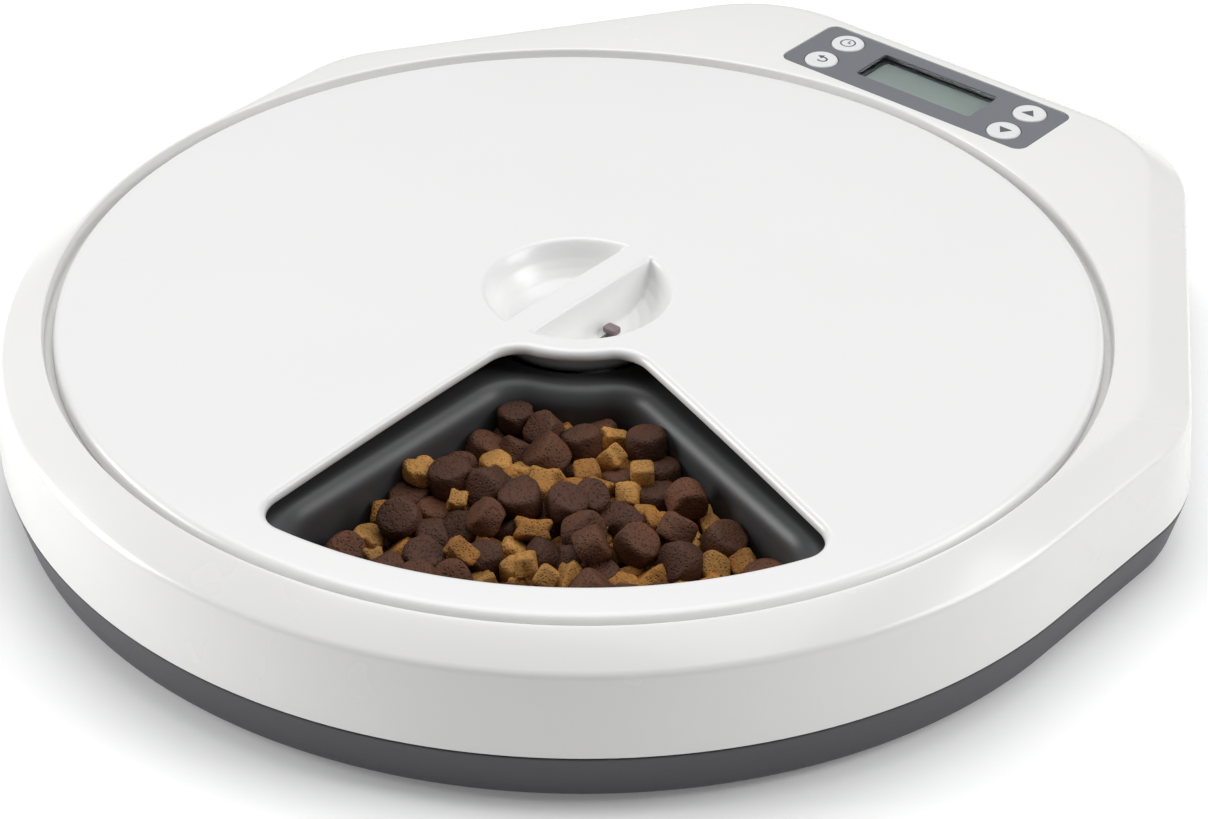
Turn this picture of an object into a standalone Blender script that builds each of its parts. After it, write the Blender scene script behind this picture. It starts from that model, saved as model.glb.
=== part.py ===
"""Rotary five-meal pet feeder: casing, turning tray, lift-off lid, console, drive and batteries.

Units are metres and +Z is up. The feeder stands on its feet at z = 0, the console is on the +Y side,
and the origin is below the middle of the outline. Every piece hangs on an empty on the tray's axis.
"""

import math

import bmesh
import bpy
from mathutils import Vector

MM = 0.001

# ---- driving dimensions: plan --------------------------------------------------------------------
LID_RADIUS = 143.0 * MM
LID_GAP = 2.7 * MM            # open ring between the lid's edge and the casing's lip
LIP_LAND = 0.5 * MM           # flat ring on top of the lip where the chamfer meets it
CHAMFER_WIDTH = 11.2 * MM
CHAMFER_DROP = 6.4 * MM
FACET_REACH = 9.2 * MM        # how far the slanted rear faces stand out past the round wall
REAR_REACH = 33.5 * MM        # how far the flat rear face stands out past the round wall
FACET_ANGLE = 32.5            # degrees, normal of a slanted rear face above the X axis
CORNER_RADIUS = 50.0 * MM
WALL_DRAFT = 2.1 * MM         # how much wider the casing is at the parting line than under the chamfer
BASE_INSET = 3.7 * MM         # how much narrower the base is at its foot than at the parting line

# ---- driving dimensions: heights -----------------------------------------------------------------
FOOT_HEIGHT = 2.0 * MM
BASE_HEIGHT = 14.5 * MM
WALL_HEIGHT = 23.4 * MM       # parting line to the lower edge of the chamfer
PARTING_GAP = 0.4 * MM
SHELL = 2.4 * MM              # wall of the casing
FLOOR = 2.5 * MM              # floor of the base
UNDERDECK = 6.5 * MM          # room for leads between the base floor and the deck under the tray
DECK = 2.0 * MM

# ---- driving dimensions: lid ---------------------------------------------------------------------
LID_DOME = 4.4 * MM
LID_SKIN = 2.2 * MM
LID_EDGE_ROUND = 2.8 * MM
LID_EDGE_DROP = 0.4 * MM      # top of the dome at the rim, below the casing's top
MEALS = 5
MEAL_TURN = 144.5             # degrees from the console to the opening, clockwise seen from above
OPENING_MARGIN = 3.6 * MM     # from the edge between two meals to the side of the opening
OPENING_INNER_LAP = 6.0 * MM  # how far the opening reaches in past the compartment
OPENING_OUTER = 130.0 * MM
OPENING_CORNER_OUTER = 8.6 * MM
OPENING_CORNER_INNER = 10.0 * MM
GRIP_RADIUS = 25.5 * MM
GRIP_DEPTH = 11.4 * MM
GRIP_SKIN = 2.7 * MM
RIDGE_HALF_TOP = 4.7 * MM
RIDGE_HALF_FOOT = 8.2 * MM

# ---- driving dimensions: tray and drive ----------------------------------------------------------
TRAY_GAP = 2.0 * MM           # between the tray's rim and the casing
TRAY_BELOW_LEDGE = 0.1 * MM
TRAY_SKIN = 2.2 * MM
MEAL_MARGIN = 7.5 * MM        # from the edge between two meals to the wall of a compartment
MEAL_WALL = 2.2 * MM
MEAL_CORNER_OUTER = 13.0 * MM
MEAL_CORNER_INNER = 9.0 * MM
MEAL_LIP_ROUND = 6.0 * MM
MEAL_FLOOR_ROUND = 5.0 * MM
MEAL_DRAFT = 0.4 * MM
HUB_LAND = 10.0 * MM          # from a compartment to the sunk middle, where the grip hangs
HUB_SINK = 10.0 * MM
HUB_PLATE = 2.0 * MM
SPINDLE_RADIUS = 4.0 * MM
HEX_FLAT = 6.0 * MM           # axis to a flat of the hexagon that drives the tray
GEAR_MODULE = 0.9 * MM
GEAR_TEETH = 30
PINION_TEETH = 10
GEAR_WIDTH = 5.0 * MM
MOTOR_RADIUS = 11.5 * MM
MOTOR_HEIGHT = 10.6 * MM
MOTOR_ROOM = 2.4 * MM         # round the motor inside the turret
SCREW_RADIUS = 1.25 * MM
SCREW_HEAD_RADIUS = 3.0 * MM

# ---- driving dimensions: console and power -------------------------------------------------------
PANEL_WIDTH = 89.2 * MM
PANEL_DEPTH = 28.0 * MM
PANEL_FROM_LIP = 2.5 * MM
PANEL_CORNER = 3.4 * MM
WINDOW_WIDTH = 39.0 * MM
WINDOW_DEPTH = 16.0 * MM
BUTTON_RADIUS = 5.15 * MM
BUTTON_SPREAD = 33.9 * MM
BUTTON_PITCH = 13.8 * MM
BUTTON_TRAVEL = 0.7 * MM
BUTTON_FLANGE = 0.9 * MM
BOARD = 1.6 * MM
CELL_RADIUS = 7.25 * MM
CELL_LENGTH = 50.5 * MM

# ---- clearances ----------------------------------------------------------------------------------
GAP = 0.3 * MM                # between pieces that touch
BACKLASH = 0.16 * MM
SLIP = 0.25 * MM              # around pieces that turn or slide in another
TURRET_GAP = 2.4 * MM         # between the turret and the tray's compartments

# ---- worked out: plan ----------------------------------------------------------------------------
LOWER_BUSH = SPINDLE_RADIUS + 0.4 * MM
LOWER_BOSS = LOWER_BUSH + 1.8 * MM
CAN_AT = (0.0, -(LOWER_BOSS + GAP + MOTOR_RADIUS))
TURRET_OUTER = MOTOR_RADIUS - CAN_AT[1] + MOTOR_ROOM + DECK
MEAL_INNER = TURRET_OUTER + TURRET_GAP + MEAL_WALL
OPENING_INNER = MEAL_INNER - OPENING_INNER_LAP
HUB_RADIUS = MEAL_INNER - HUB_LAND
LIP_RADIUS = LID_RADIUS + LID_GAP
WALL_RADIUS = LIP_RADIUS + LIP_LAND + CHAMFER_WIDTH
FACET_DISTANCE = WALL_RADIUS + FACET_REACH
REAR_DISTANCE = WALL_RADIUS + REAR_REACH
AXIS_Y = (WALL_RADIUS - REAR_DISTANCE) / 2
LEDGE_RADIUS = LID_RADIUS - 3.2 * MM
RECESS_RADIUS = LEDGE_RADIUS - 0.5 * MM
TRAY_RADIUS = RECESS_RADIUS - TRAY_GAP
MEAL_OUTER = TRAY_RADIUS - MEAL_LIP_ROUND - 3.8 * MM
MEAL_ANGLE = 360.0 / MEALS
OPENING_AXIS = 90.0 - MEAL_TURN

# ---- worked out: heights -------------------------------------------------------------------------
BASE_Z = FOOT_HEIGHT
FLOOR_Z = BASE_Z + FLOOR
PARTING_Z = BASE_Z + BASE_HEIGHT
WALL_Z = PARTING_Z + PARTING_GAP + WALL_HEIGHT
CASING_Z = WALL_Z + CHAMFER_DROP
RIM_Z = CASING_Z - LID_EDGE_DROP
LEDGE_Z = CASING_Z - 5.1 * MM
DECK_Z = FLOOR_Z + UNDERDECK + DECK
TRAY_Z = LEDGE_Z - TRAY_BELOW_LEDGE
HUB_Z = TRAY_Z - HUB_SINK
MEAL_Z = DECK_Z + 1.8 * MM + MEAL_WALL
GRIP_Z = RIM_Z + LID_DOME - GRIP_DEPTH
SPINDLE_FLANGE_Z = HUB_Z - HUB_PLATE - GAP
TURRET_Z = SPINDLE_FLANGE_Z - 2.2 * MM
GEAR_Z = TURRET_Z - 8.4 * MM
GEAR_DISTANCE = GEAR_MODULE * (GEAR_TEETH + PINION_TEETH) / 2
PANEL_Y = LIP_RADIUS + PANEL_FROM_LIP + PANEL_DEPTH / 2
OVERLAY_THICK = 0.5 * MM
OVERLAY_Z = CASING_Z - OVERLAY_THICK - 0.2 * MM
SKIN_Z = CASING_Z - SHELL
BOARD_Z = SKIN_Z - 9.3 * MM

for old in list(bpy.data.objects):
    bpy.data.objects.remove(old)

AXIS = bpy.data.objects.new("tray_axis", None)
bpy.context.scene.collection.objects.link(AXIS)
AXIS.location = (0.0, AXIS_Y, 0.0)


# ---- materials -----------------------------------------------------------------------------------
def finish(name, colour, roughness, metallic=0.0):
    """A plain material with the piece's colour, roughness and metallic value."""
    material = bpy.data.materials.new(name)
    material.use_nodes = True
    shader = material.node_tree.nodes["Principled BSDF"]
    shader.inputs["Base Color"].default_value = (*colour, 1.0)
    shader.inputs["Roughness"].default_value = roughness
    shader.inputs["Metallic"].default_value = metallic
    return material


WHITE = finish("white_plastic", (0.86, 0.86, 0.855), 0.4)
LID_WHITE = finish("lid_plastic", (0.88, 0.88, 0.88), 0.3)
GREY = finish("base_plastic", (0.065, 0.064, 0.07), 0.5)
CHARCOAL = finish("tray_plastic", (0.035, 0.035, 0.037), 0.4)
LABEL = finish("overlay_film", (0.17, 0.18, 0.2), 0.5)
CLEAR = finish("clear_plastic", (0.75, 0.8, 0.78), 0.1)
DISPLAY = finish("display_glass", (0.3, 0.36, 0.34), 0.2)
BUTTON = finish("button_plastic", (0.82, 0.82, 0.83), 0.4)
BLACK = finish("black_plastic", (0.02, 0.02, 0.02), 0.5)
LATCH = finish("latch_plastic", (0.3, 0.25, 0.26), 0.4)
BOARD_GREEN = finish("board_laminate", (0.03, 0.14, 0.06), 0.5)
STEEL = finish("steel", (0.5, 0.5, 0.51), 0.3, 1.0)
NYLON = finish("nylon", (0.7, 0.68, 0.6), 0.5)
RUBBER = finish("foot_rubber", (0.03, 0.03, 0.03), 0.8)
CELL = finish("cell_jacket", (0.25, 0.27, 0.3), 0.4)
INSULATION = finish("wire_insulation", (0.3, 0.02, 0.02), 0.5)


# ---- modelling helpers ---------------------------------------------------------------------------
def place(name, shape, material, at=(0.0, 0.0, 0.0), turn=(0.0, 0.0, 0.0), sharp=35.0):
    """Turns a bmesh into a named object on the tray's axis, shaded smooth with sharp edges kept."""
    bmesh.ops.recalc_face_normals(shape, faces=shape.faces)
    mesh = bpy.data.meshes.new(name)
    shape.to_mesh(mesh)
    shape.free()
    mesh.materials.append(material)
    mesh.shade_smooth()
    mesh.set_sharp_from_angle(angle=math.radians(sharp))
    piece = bpy.data.objects.new(name, mesh)
    bpy.context.scene.collection.objects.link(piece)
    piece.parent = AXIS
    piece.location = at
    piece.rotation_euler = turn
    return piece


def ring(points, z, shape):
    """Adds one closed loop of vertices at height z."""
    return [shape.verts.new((x, y, z)) for x, y in points]


def lofted(loops, closed=False):
    """Skins loops of equal length, given as (points, z), with caps or closed round into a ring."""
    shape = bmesh.new()
    rings = [ring(points, z, shape) for points, z in loops]
    count = len(rings[0])
    pairs = list(zip(rings, rings[1:]))
    if closed:
        pairs.append((rings[-1], rings[0]))
    for low, high in pairs:
        for k in range(count):
            after = (k + 1) % count
            shape.faces.new((low[k], low[after], high[after], high[k]))
    if not closed:
        shape.faces.new(rings[0][::-1])
        shape.faces.new(rings[-1])
    return shape


def turned(profile, steps=20):
    """Spins a closed profile of (radius, z) points about Z. Points on the axis close to one pole."""
    shape = bmesh.new()
    corners = [shape.verts.new((radius, 0.0, z)) for radius, z in profile]
    edges = [shape.edges.new((a, b)) for a, b in zip(corners, corners[1:])]
    if profile[0][0] > 0.0:
        edges.append(shape.edges.new((corners[-1], corners[0])))
    bmesh.ops.spin(
        shape, geom=corners + edges, cent=(0, 0, 0), axis=(0, 0, 1), angle=math.tau, steps=steps
    )
    bmesh.ops.remove_doubles(shape, verts=shape.verts, dist=1e-6)
    return shape


def circle(radius, steps=20, at=(0.0, 0.0), start=0.0):
    """Points on a circle, anticlockwise."""
    points = []
    for k in range(steps):
        angle = start + math.tau * k / steps
        points.append((at[0] + radius * math.cos(angle), at[1] + radius * math.sin(angle)))
    return points


def prism(points, low, high):
    """An upright prism over an outline."""
    return lofted([(points, low), (points, high)])


def disc(radius, low, high, steps=20, at=(0.0, 0.0)):
    """An upright cylinder."""
    return prism(circle(radius, steps, at), low, high)


def rectangle(width, depth, at=(0.0, 0.0), radius=0.0, steps=3):
    """A rectangle's outline, with round corners where a radius is given."""
    half_x = width / 2 - radius
    half_y = depth / 2 - radius
    points = []
    for quarter, (sx, sy) in enumerate(((1, 1), (-1, 1), (-1, -1), (1, -1))):
        for k in range(steps + 1 if radius else 1):
            angle = math.radians(90 * quarter + 90 * k / steps)
            x = at[0] + sx * half_x + radius * math.cos(angle)
            y = at[1] + sy * half_y + radius * math.sin(angle)
            points.append((x, y))
    return points


def block(width, depth, low, high, at=(0.0, 0.0), radius=0.0):
    """An upright block, with round corners where a radius is given."""
    return prism(rectangle(width, depth, at, radius), low, high)


def combine(piece, shapes, operation):
    """Joins shapes to a piece or cuts them from it, each with an exact Boolean that is then applied."""
    tools = []
    for shape in shapes:
        tool = place(piece.name + "_tool", shape, piece.data.materials[0])
        modifier = piece.modifiers.new(operation.lower(), "BOOLEAN")
        modifier.operation = operation
        modifier.object = tool
        tools.append(tool)
    bpy.context.view_layer.update()
    depsgraph = bpy.context.evaluated_depsgraph_get()
    mesh = bpy.data.meshes.new_from_object(piece.evaluated_get(depsgraph))
    piece.modifiers.clear()
    piece.data = mesh
    for tool in tools:
        bpy.data.objects.remove(tool)
    return piece


def join(piece, *shapes):
    """Adds shapes, given about the tray's axis, to a piece."""
    return combine(piece, shapes, "UNION")


def cut(piece, *shapes):
    """Removes shapes, given about the tray's axis, from a piece."""
    return combine(piece, shapes, "DIFFERENCE")


def polar(radius, degrees):
    """A point at an angle about the tray's axis."""
    angle = math.radians(degrees)
    return (radius * math.cos(angle), radius * math.sin(angle))


# ---- outlines ------------------------------------------------------------------------------------
def crossing(normal_a, distance_a, normal_b, distance_b):
    """Where two lines meet, each given by the angle of its normal and its distance from the axis."""
    a = math.radians(normal_a)
    b = math.radians(normal_b)
    det = math.sin(b - a)
    x = (distance_a * math.sin(b) - distance_b * math.sin(a)) / det
    y = (distance_b * math.cos(a) - distance_a * math.cos(b)) / det
    return (x, y)


def body_anchors():
    """The casing's outline as (centre, normal angle, radius) points, so that it can grow evenly."""
    inner_wall = WALL_RADIUS - CORNER_RADIUS
    inner_facet = FACET_DISTANCE - CORNER_RADIUS
    inner_rear = REAR_DISTANCE - CORNER_RADIUS
    side = crossing(0.0, inner_wall, FACET_ANGLE, inner_facet)
    rear = crossing(FACET_ANGLE, inner_facet, 90.0, inner_rear)
    steps = 5
    right = [((inner_wall, side[1] * k / 3), 0.0, CORNER_RADIUS) for k in (1, 2)]
    right += [(side, FACET_ANGLE * k / steps, CORNER_RADIUS) for k in range(steps + 1)]
    for k in range(1, 6):
        between = Vector(side).lerp(Vector(rear), k / 6)
        right.append(((between.x, between.y), FACET_ANGLE, CORNER_RADIUS))
    turn = 90.0 - FACET_ANGLE
    right += [(rear, FACET_ANGLE + turn * k / steps, CORNER_RADIUS) for k in range(steps + 1)]
    right += [((rear[0] * (1 - k / 3), rear[1]), 90.0, CORNER_RADIUS) for k in (1, 2)]
    left = [((-x, y), 180.0 - angle, radius) for (x, y), angle, radius in reversed(right)]
    middle = [((0.0, rear[1]), 90.0, CORNER_RADIUS)]
    front = [((0.0, 0.0), 180.0 + 7.5 * k, WALL_RADIUS) for k in range(25)]
    return front + right + middle + left


ANCHORS = body_anchors()


def outline(grow):
    """The casing's outline, grown outwards evenly by a distance."""
    points = []
    for (x, y), angle, radius in ANCHORS:
        reach = polar(radius + grow, angle)
        points.append((x + reach[0], y + reach[1]))
    return points


def matching_circle(radius):
    """A circle with a point opposite each point of the casing's outline."""
    points = []
    for x, y in outline(0.0):
        scale = radius / math.hypot(x, y)
        points.append((x * scale, y * scale))
    return points


def wedge(axis_degrees, margin, inner, outer, corner_inner, corner_outer, inset=0.0):
    """A meal's outline: two sides along the meal's edges, two arcs about the axis, round corners.

    Insetting keeps the corners' centres, so outlines at different insets match point for point.
    """
    half = math.radians(MEAL_ANGLE / 2)
    away = margin + corner_outer
    near = margin + corner_inner
    along_outer = math.sqrt((outer - corner_outer) ** 2 - away**2)
    along_inner = math.sqrt((inner + corner_inner) ** 2 - near**2)
    outer_turn = half - math.atan2(away, along_outer)
    inner_turn = half - math.atan2(near, along_inner)

    def arc(centre, radius, start, end, steps):
        points = []
        for k in range(steps + 1):
            angle = start + (end - start) * k / steps
            points.append((centre[0] + radius * math.cos(angle), centre[1] + radius * math.sin(angle)))
        return points

    reach = outer - corner_outer
    stay = inner + corner_inner
    right_outer = (reach * math.cos(outer_turn), -reach * math.sin(outer_turn))
    left_outer = (right_outer[0], -right_outer[1])
    right_inner = (stay * math.cos(inner_turn), -stay * math.sin(inner_turn))
    left_inner = (right_inner[0], -right_inner[1])
    quarter = math.pi / 2
    points = arc(right_outer, corner_outer - inset, -half - quarter, -outer_turn, 4)
    points += arc((0.0, 0.0), outer - inset, -outer_turn, outer_turn, 7)[1:-1]
    points += arc(left_outer, corner_outer - inset, outer_turn, half + quarter, 4)
    points += arc(left_inner, corner_inner - inset, half + quarter, math.pi + inner_turn, 3)
    points += arc((0.0, 0.0), inner + inset, inner_turn, -inner_turn, 4)[1:-1]
    points += arc(right_inner, corner_inner - inset, math.pi - inner_turn, math.tau - half - quarter, 3)
    turn = math.radians(axis_degrees)
    return [
        (x * math.cos(turn) - y * math.sin(turn), x * math.sin(turn) + y * math.cos(turn))
        for x, y in points
    ]


# ---- battery bay and screw places, shared by several pieces --------------------------------------
CELL_ROW = 2 * CELL_RADIUS + 1.0 * MM
BAY_WIDTH = 2 * CELL_LENGTH + 7.5 * MM
BAY_DEPTH = 2 * CELL_RADIUS + CELL_ROW + 1.5 * MM
BAY_WALL = 1.8 * MM
BAY_Y = REAR_DISTANCE + WALL_DRAFT - BASE_INSET - SHELL - 2.6 * MM - BAY_WALL - BAY_DEPTH / 2
CELL_Z = BASE_Z + FLOOR + GAP + CELL_RADIUS + 0.4 * MM
BAY_TOP_Z = CELL_Z + CELL_RADIUS + 0.8 * MM
CASE_SCREWS = [polar(RECESS_RADIUS - 20.0 * MM, -90.0 + 60.0 * k) for k in range(6)]
FEET = [polar(WALL_RADIUS - 22.0 * MM, angle) for angle in (-90.0, -20.0, 40.0, 140.0, 200.0)]
MOTOR_AT = (0.0, -GEAR_DISTANCE)
LOWER_BOSS_Z = FLOOR_Z + 4.6 * MM
MOTOR_EAR = MOTOR_RADIUS + 4.0 * MM
MOTOR_EARS = [(side * MOTOR_EAR, CAN_AT[1]) for side in (-1, 1)]
MOTOR_POST_Z = FLOOR_Z + 7.5 * MM
SWITCH_Y = 22.5 * MM
SWITCH_POST_Z = GEAR_Z - 4.4 * MM
BUTTON_PLACES = {
    "set": (-BUTTON_SPREAD, PANEL_Y + BUTTON_PITCH / 2),
    "return": (-BUTTON_SPREAD, PANEL_Y - BUTTON_PITCH / 2),
    "up": (BUTTON_SPREAD, PANEL_Y + BUTTON_PITCH / 2),
    "down": (BUTTON_SPREAD, PANEL_Y - BUTTON_PITCH / 2),
}
BOARD_WIDTH = PANEL_WIDTH + 15.0 * MM
BOARD_Y = PANEL_Y + 2.3 * MM
BOARD_DEPTH = PANEL_DEPTH - 0.5 * MM
BOARD_SCREWS = [(side * (BOARD_WIDTH / 2 - 4.5 * MM), PANEL_Y) for side in (-1, 1)]
WINDOW_AT = (0.0, PANEL_Y + 1.2 * MM)


# ---- top shell -----------------------------------------------------------------------------------
def make_top_shell():
    """White casing: outer wall, chamfer, lip, ledge for the lid, recess for the tray, turret."""
    low = PARTING_Z + PARTING_GAP
    bush = 6.0 * MM + GAP
    slope = CHAMFER_DROP / CHAMFER_WIDTH
    inner_top = CHAMFER_WIDTH - SHELL - 0.2 * MM
    inner_z = CASING_Z - SHELL * math.hypot(1.0, slope) - slope * (CHAMFER_WIDTH - inner_top)
    inner_low_z = inner_z - slope * (inner_top - SHELL)
    loops = [
        (outline(WALL_DRAFT), low),
        (outline(0.0), WALL_Z),
        (outline(-CHAMFER_WIDTH), CASING_Z),
        (matching_circle(LIP_RADIUS), CASING_Z),
        (matching_circle(LIP_RADIUS - 0.4 * MM), LEDGE_Z),
        (matching_circle(LEDGE_RADIUS), LEDGE_Z),
        (matching_circle(RECESS_RADIUS), DECK_Z),
        (matching_circle(TURRET_OUTER), DECK_Z),
        (matching_circle(TURRET_OUTER - 0.5 * MM), TURRET_Z),
        (matching_circle(bush), TURRET_Z),
        (matching_circle(bush), TURRET_Z - DECK),
        (matching_circle(TURRET_OUTER - DECK - 0.5 * MM), TURRET_Z - DECK),
        (matching_circle(TURRET_OUTER - DECK), DECK_Z - DECK),
        (matching_circle(RECESS_RADIUS + SHELL), DECK_Z - DECK),
        (matching_circle(LEDGE_RADIUS + SHELL), LEDGE_Z - SHELL),
        (matching_circle(LIP_RADIUS + 1.8 * MM), LEDGE_Z - SHELL),
        (matching_circle(LIP_RADIUS + 1.9 * MM), inner_z - 0.1 * MM),
        (outline(-inner_top), inner_z),
        (outline(-SHELL), inner_low_z),
        (outline(WALL_DRAFT - SHELL), low),
    ]
    shell = place("top_shell", lofted(loops, closed=True), WHITE)

    bay_low = LIP_RADIUS + 2.2 * MM
    bay_depth = BOARD_Y + BOARD_DEPTH / 2 + 1.0 * MM - bay_low
    bay = rectangle(BOARD_WIDTH + 2 * MM, bay_depth, (0.0, bay_low + bay_depth / 2), 2.0 * MM)
    posts = [disc(3.0 * MM, BOARD_Z + BOARD + GAP, SKIN_Z + 0.5 * MM, 10, at) for at in BOARD_SCREWS]
    bosses = [
        disc(4.2 * MM, FLOOR_Z + GAP, DECK_Z - DECK + 0.3 * MM, 12, at) for at in CASE_SCREWS
    ]
    cut(shell, prism(bay, LEDGE_Z - SHELL - 1.0 * MM, SKIN_Z))
    join(shell, *posts, *bosses)

    panel = rectangle(PANEL_WIDTH + 2 * GAP, PANEL_DEPTH + 2 * GAP, (0.0, PANEL_Y), PANEL_CORNER + GAP)
    window = rectangle(WINDOW_WIDTH + 7.0 * MM, WINDOW_DEPTH + 4.0 * MM, WINDOW_AT, 1.5 * MM)
    holes = [
        disc(BUTTON_RADIUS + SLIP, SKIN_Z - 1.0 * MM, CASING_Z + 1.0 * MM, 16, at)
        for at in BUTTON_PLACES.values()
    ]
    post_holes = [
        disc(SCREW_RADIUS + SLIP, BOARD_Z, SKIN_Z - 1.6 * MM, 8, at) for at in BOARD_SCREWS
    ]
    boss_holes = [disc(SCREW_RADIUS + SLIP, FLOOR_Z, DECK_Z - 0.8 * MM, 8, at) for at in CASE_SCREWS]
    cut(
        shell,
        prism(panel, OVERLAY_Z - GAP, CASING_Z + 1.0 * MM),
        prism(window, SKIN_Z - 1.0 * MM, CASING_Z + 1.0 * MM),
        *holes,
        *post_holes,
        *boss_holes,
    )
    return shell


# ---- base shell ----------------------------------------------------------------------------------
def make_base_shell():
    """Grey floor pan with the battery bay, the lower bearing's boss and the motor's posts."""
    foot_grow = WALL_DRAFT - BASE_INSET
    loops = [
        (outline(foot_grow - 1.5 * MM), BASE_Z),
        (outline(foot_grow), BASE_Z + 1.5 * MM),
        (outline(WALL_DRAFT), PARTING_Z),
        (outline(WALL_DRAFT - SHELL), PARTING_Z),
        (outline(foot_grow - SHELL), FLOOR_Z),
    ]
    shell = place("base_shell", lofted(loops), GREY)
    sunk = FLOOR_Z - 0.4 * MM
    ears = [disc(2.6 * MM, sunk, MOTOR_POST_Z, 12, at) for at in MOTOR_EARS]
    bay = rectangle(BAY_WIDTH + 2 * BAY_WALL, BAY_DEPTH + 2 * BAY_WALL, (0.0, BAY_Y))
    join(
        shell,
        prism(bay, sunk, BAY_TOP_Z + BAY_WALL),
        disc(LOWER_BOSS, sunk, LOWER_BOSS_Z),
        block(16.0 * MM, 9.0 * MM, sunk, SWITCH_POST_Z, (0.0, SWITCH_Y)),
        *ears,
    )
    heads = [disc(SCREW_HEAD_RADIUS + 0.5 * MM, 0.0, BASE_Z + 1.5 * MM, 12, at) for at in CASE_SCREWS]
    shanks = [disc(SCREW_RADIUS + 0.5 * MM, 0.0, FLOOR_Z + 1.0 * MM, 8, at) for at in CASE_SCREWS]
    ear_holes = [
        disc(SCREW_RADIUS + SLIP, FLOOR_Z + 1.0 * MM, MOTOR_POST_Z + 1.0 * MM, 12, at)
        for at in MOTOR_EARS
    ]
    cut(
        shell,
        block(BAY_WIDTH, BAY_DEPTH, 0.0, BAY_TOP_Z, (0.0, BAY_Y)),
        disc(LOWER_BUSH + GAP, FLOOR_Z, LOWER_BOSS_Z + 1.0 * MM),
        *heads,
        *shanks,
        *ear_holes,
    )
    return shell


def make_battery_door():
    """Flat door of the battery bay, hinged along the bay's front edge on the underside."""
    width = BAY_WIDTH - 0.8 * MM
    depth = BAY_DEPTH - 0.8 * MM
    hinge = (0.0, BAY_Y - BAY_DEPTH / 2, BASE_Z)
    plate = block(width, depth, 0.0, FLOOR - 0.2 * MM, (0.0, depth / 2 + 0.4 * MM), 1.0 * MM)
    door = place("battery_door", plate, GREY, hinge)
    return door


# ---- tray ----------------------------------------------------------------------------------------
def meal_pocket(axis_degrees):
    """One compartment: rounded floor, drafted wall, and a rolled lip at the top."""
    size = (MEAL_MARGIN, MEAL_INNER, MEAL_OUTER, MEAL_CORNER_INNER, MEAL_CORNER_OUTER)
    loops = []
    floor_centre_z = MEAL_Z + MEAL_FLOOR_ROUND
    for degrees in (90, 45, 0):
        angle = math.radians(degrees)
        inset = MEAL_DRAFT + MEAL_FLOOR_ROUND * (1 - math.cos(angle))
        z = floor_centre_z - MEAL_FLOOR_ROUND * math.sin(angle)
        loops.append((wedge(axis_degrees, *size, inset), z))
    lip_centre_z = TRAY_Z - MEAL_LIP_ROUND
    for degrees in (0, 38, 75):
        angle = math.radians(degrees)
        inset = MEAL_LIP_ROUND * (math.cos(angle) - 1)
        z = lip_centre_z + MEAL_LIP_ROUND * math.sin(angle)
        loops.append((wedge(axis_degrees, *size, inset), z))
    loops.append((wedge(axis_degrees, *size, -MEAL_LIP_ROUND * 0.86), TRAY_Z + 1.0 * MM))
    return lofted(loops)


def make_tray():
    """Charcoal food tray: five pockets round a sunk hub with a hexagon socket."""
    wall = MEAL_OUTER + MEAL_WALL
    hub_wall = MEAL_INNER - MEAL_WALL
    foot_z = MEAL_Z - MEAL_WALL
    skirt_z = TRAY_Z - 4.5 * MM
    profile = [
        (HEX_FLAT * 0.8, HUB_Z - HUB_PLATE),
        (hub_wall - 0.8 * MM, HUB_Z - HUB_PLATE),
        (hub_wall, foot_z),
        (wall - MEAL_DRAFT, foot_z),
        (wall, TRAY_Z - MEAL_LIP_ROUND),
        (wall + 1.5 * MM, TRAY_Z - TRAY_SKIN - 1.5 * MM),
        (TRAY_RADIUS - TRAY_SKIN, TRAY_Z - TRAY_SKIN),
        (TRAY_RADIUS - TRAY_SKIN, skirt_z),
        (TRAY_RADIUS, skirt_z),
        (TRAY_RADIUS, TRAY_Z - 1.5 * MM),
        (TRAY_RADIUS - 1.5 * MM, TRAY_Z),
        (HUB_RADIUS, TRAY_Z),
        (HUB_RADIUS - 0.5 * MM, HUB_Z),
        (HEX_FLAT * 0.8, HUB_Z),
    ]
    tray = place("tray", turned(profile, 52), CHARCOAL)
    pockets = [meal_pocket(OPENING_AXIS + MEAL_ANGLE * k) for k in range(MEALS)]
    hexagon = circle((HEX_FLAT + 0.2 * MM) / math.cos(math.pi / 6), 6)
    socket = prism(hexagon, HUB_Z - 9.0 * MM, HUB_Z + 9.0 * MM)
    grooves = []
    for k in range(MEALS):
        turn = math.radians(OPENING_AXIS + MEAL_ANGLE * (k + 0.5))
        middle = (MEAL_INNER + wall) / 2
        length = MEAL_OUTER - MEAL_INNER - 4.0 * MM
        half_low = MEAL_MARGIN - MEAL_WALL + MEAL_DRAFT
        half_high = half_low - 3.4 * MM
        foot = rectangle(length, 2 * half_low, (middle, 0.0))
        crown = rectangle(length, 2 * half_high, (middle, 0.0))
        turned_levels = []
        for points, z in (
            (foot, foot_z - 1.0 * MM),
            (foot, TRAY_Z - MEAL_LIP_ROUND),
            (crown, TRAY_Z - 2.4 * MM),
        ):
            around = [
                (x * math.cos(turn) - y * math.sin(turn), x * math.sin(turn) + y * math.cos(turn))
                for x, y in points
            ]
            turned_levels.append((around, z))
        grooves.append(lofted(turned_levels))
    cut(tray, *pockets, *grooves, socket)
    return tray


# ---- lid -----------------------------------------------------------------------------------------
def dome_z(radius):
    """Height of the lid's top surface at a distance from the axis."""
    return RIM_Z + LID_DOME * (1 - (radius / LID_RADIUS) ** 2)


LOCK_X = 11.0 * MM
LOCK_TRAVEL = 6.5 * MM
LOCK_REST_Y = 0.7 * MM
LOCK_STEM = 2.4 * MM
GRIP_UNDER_Z = GRIP_Z - GRIP_SKIN


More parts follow.
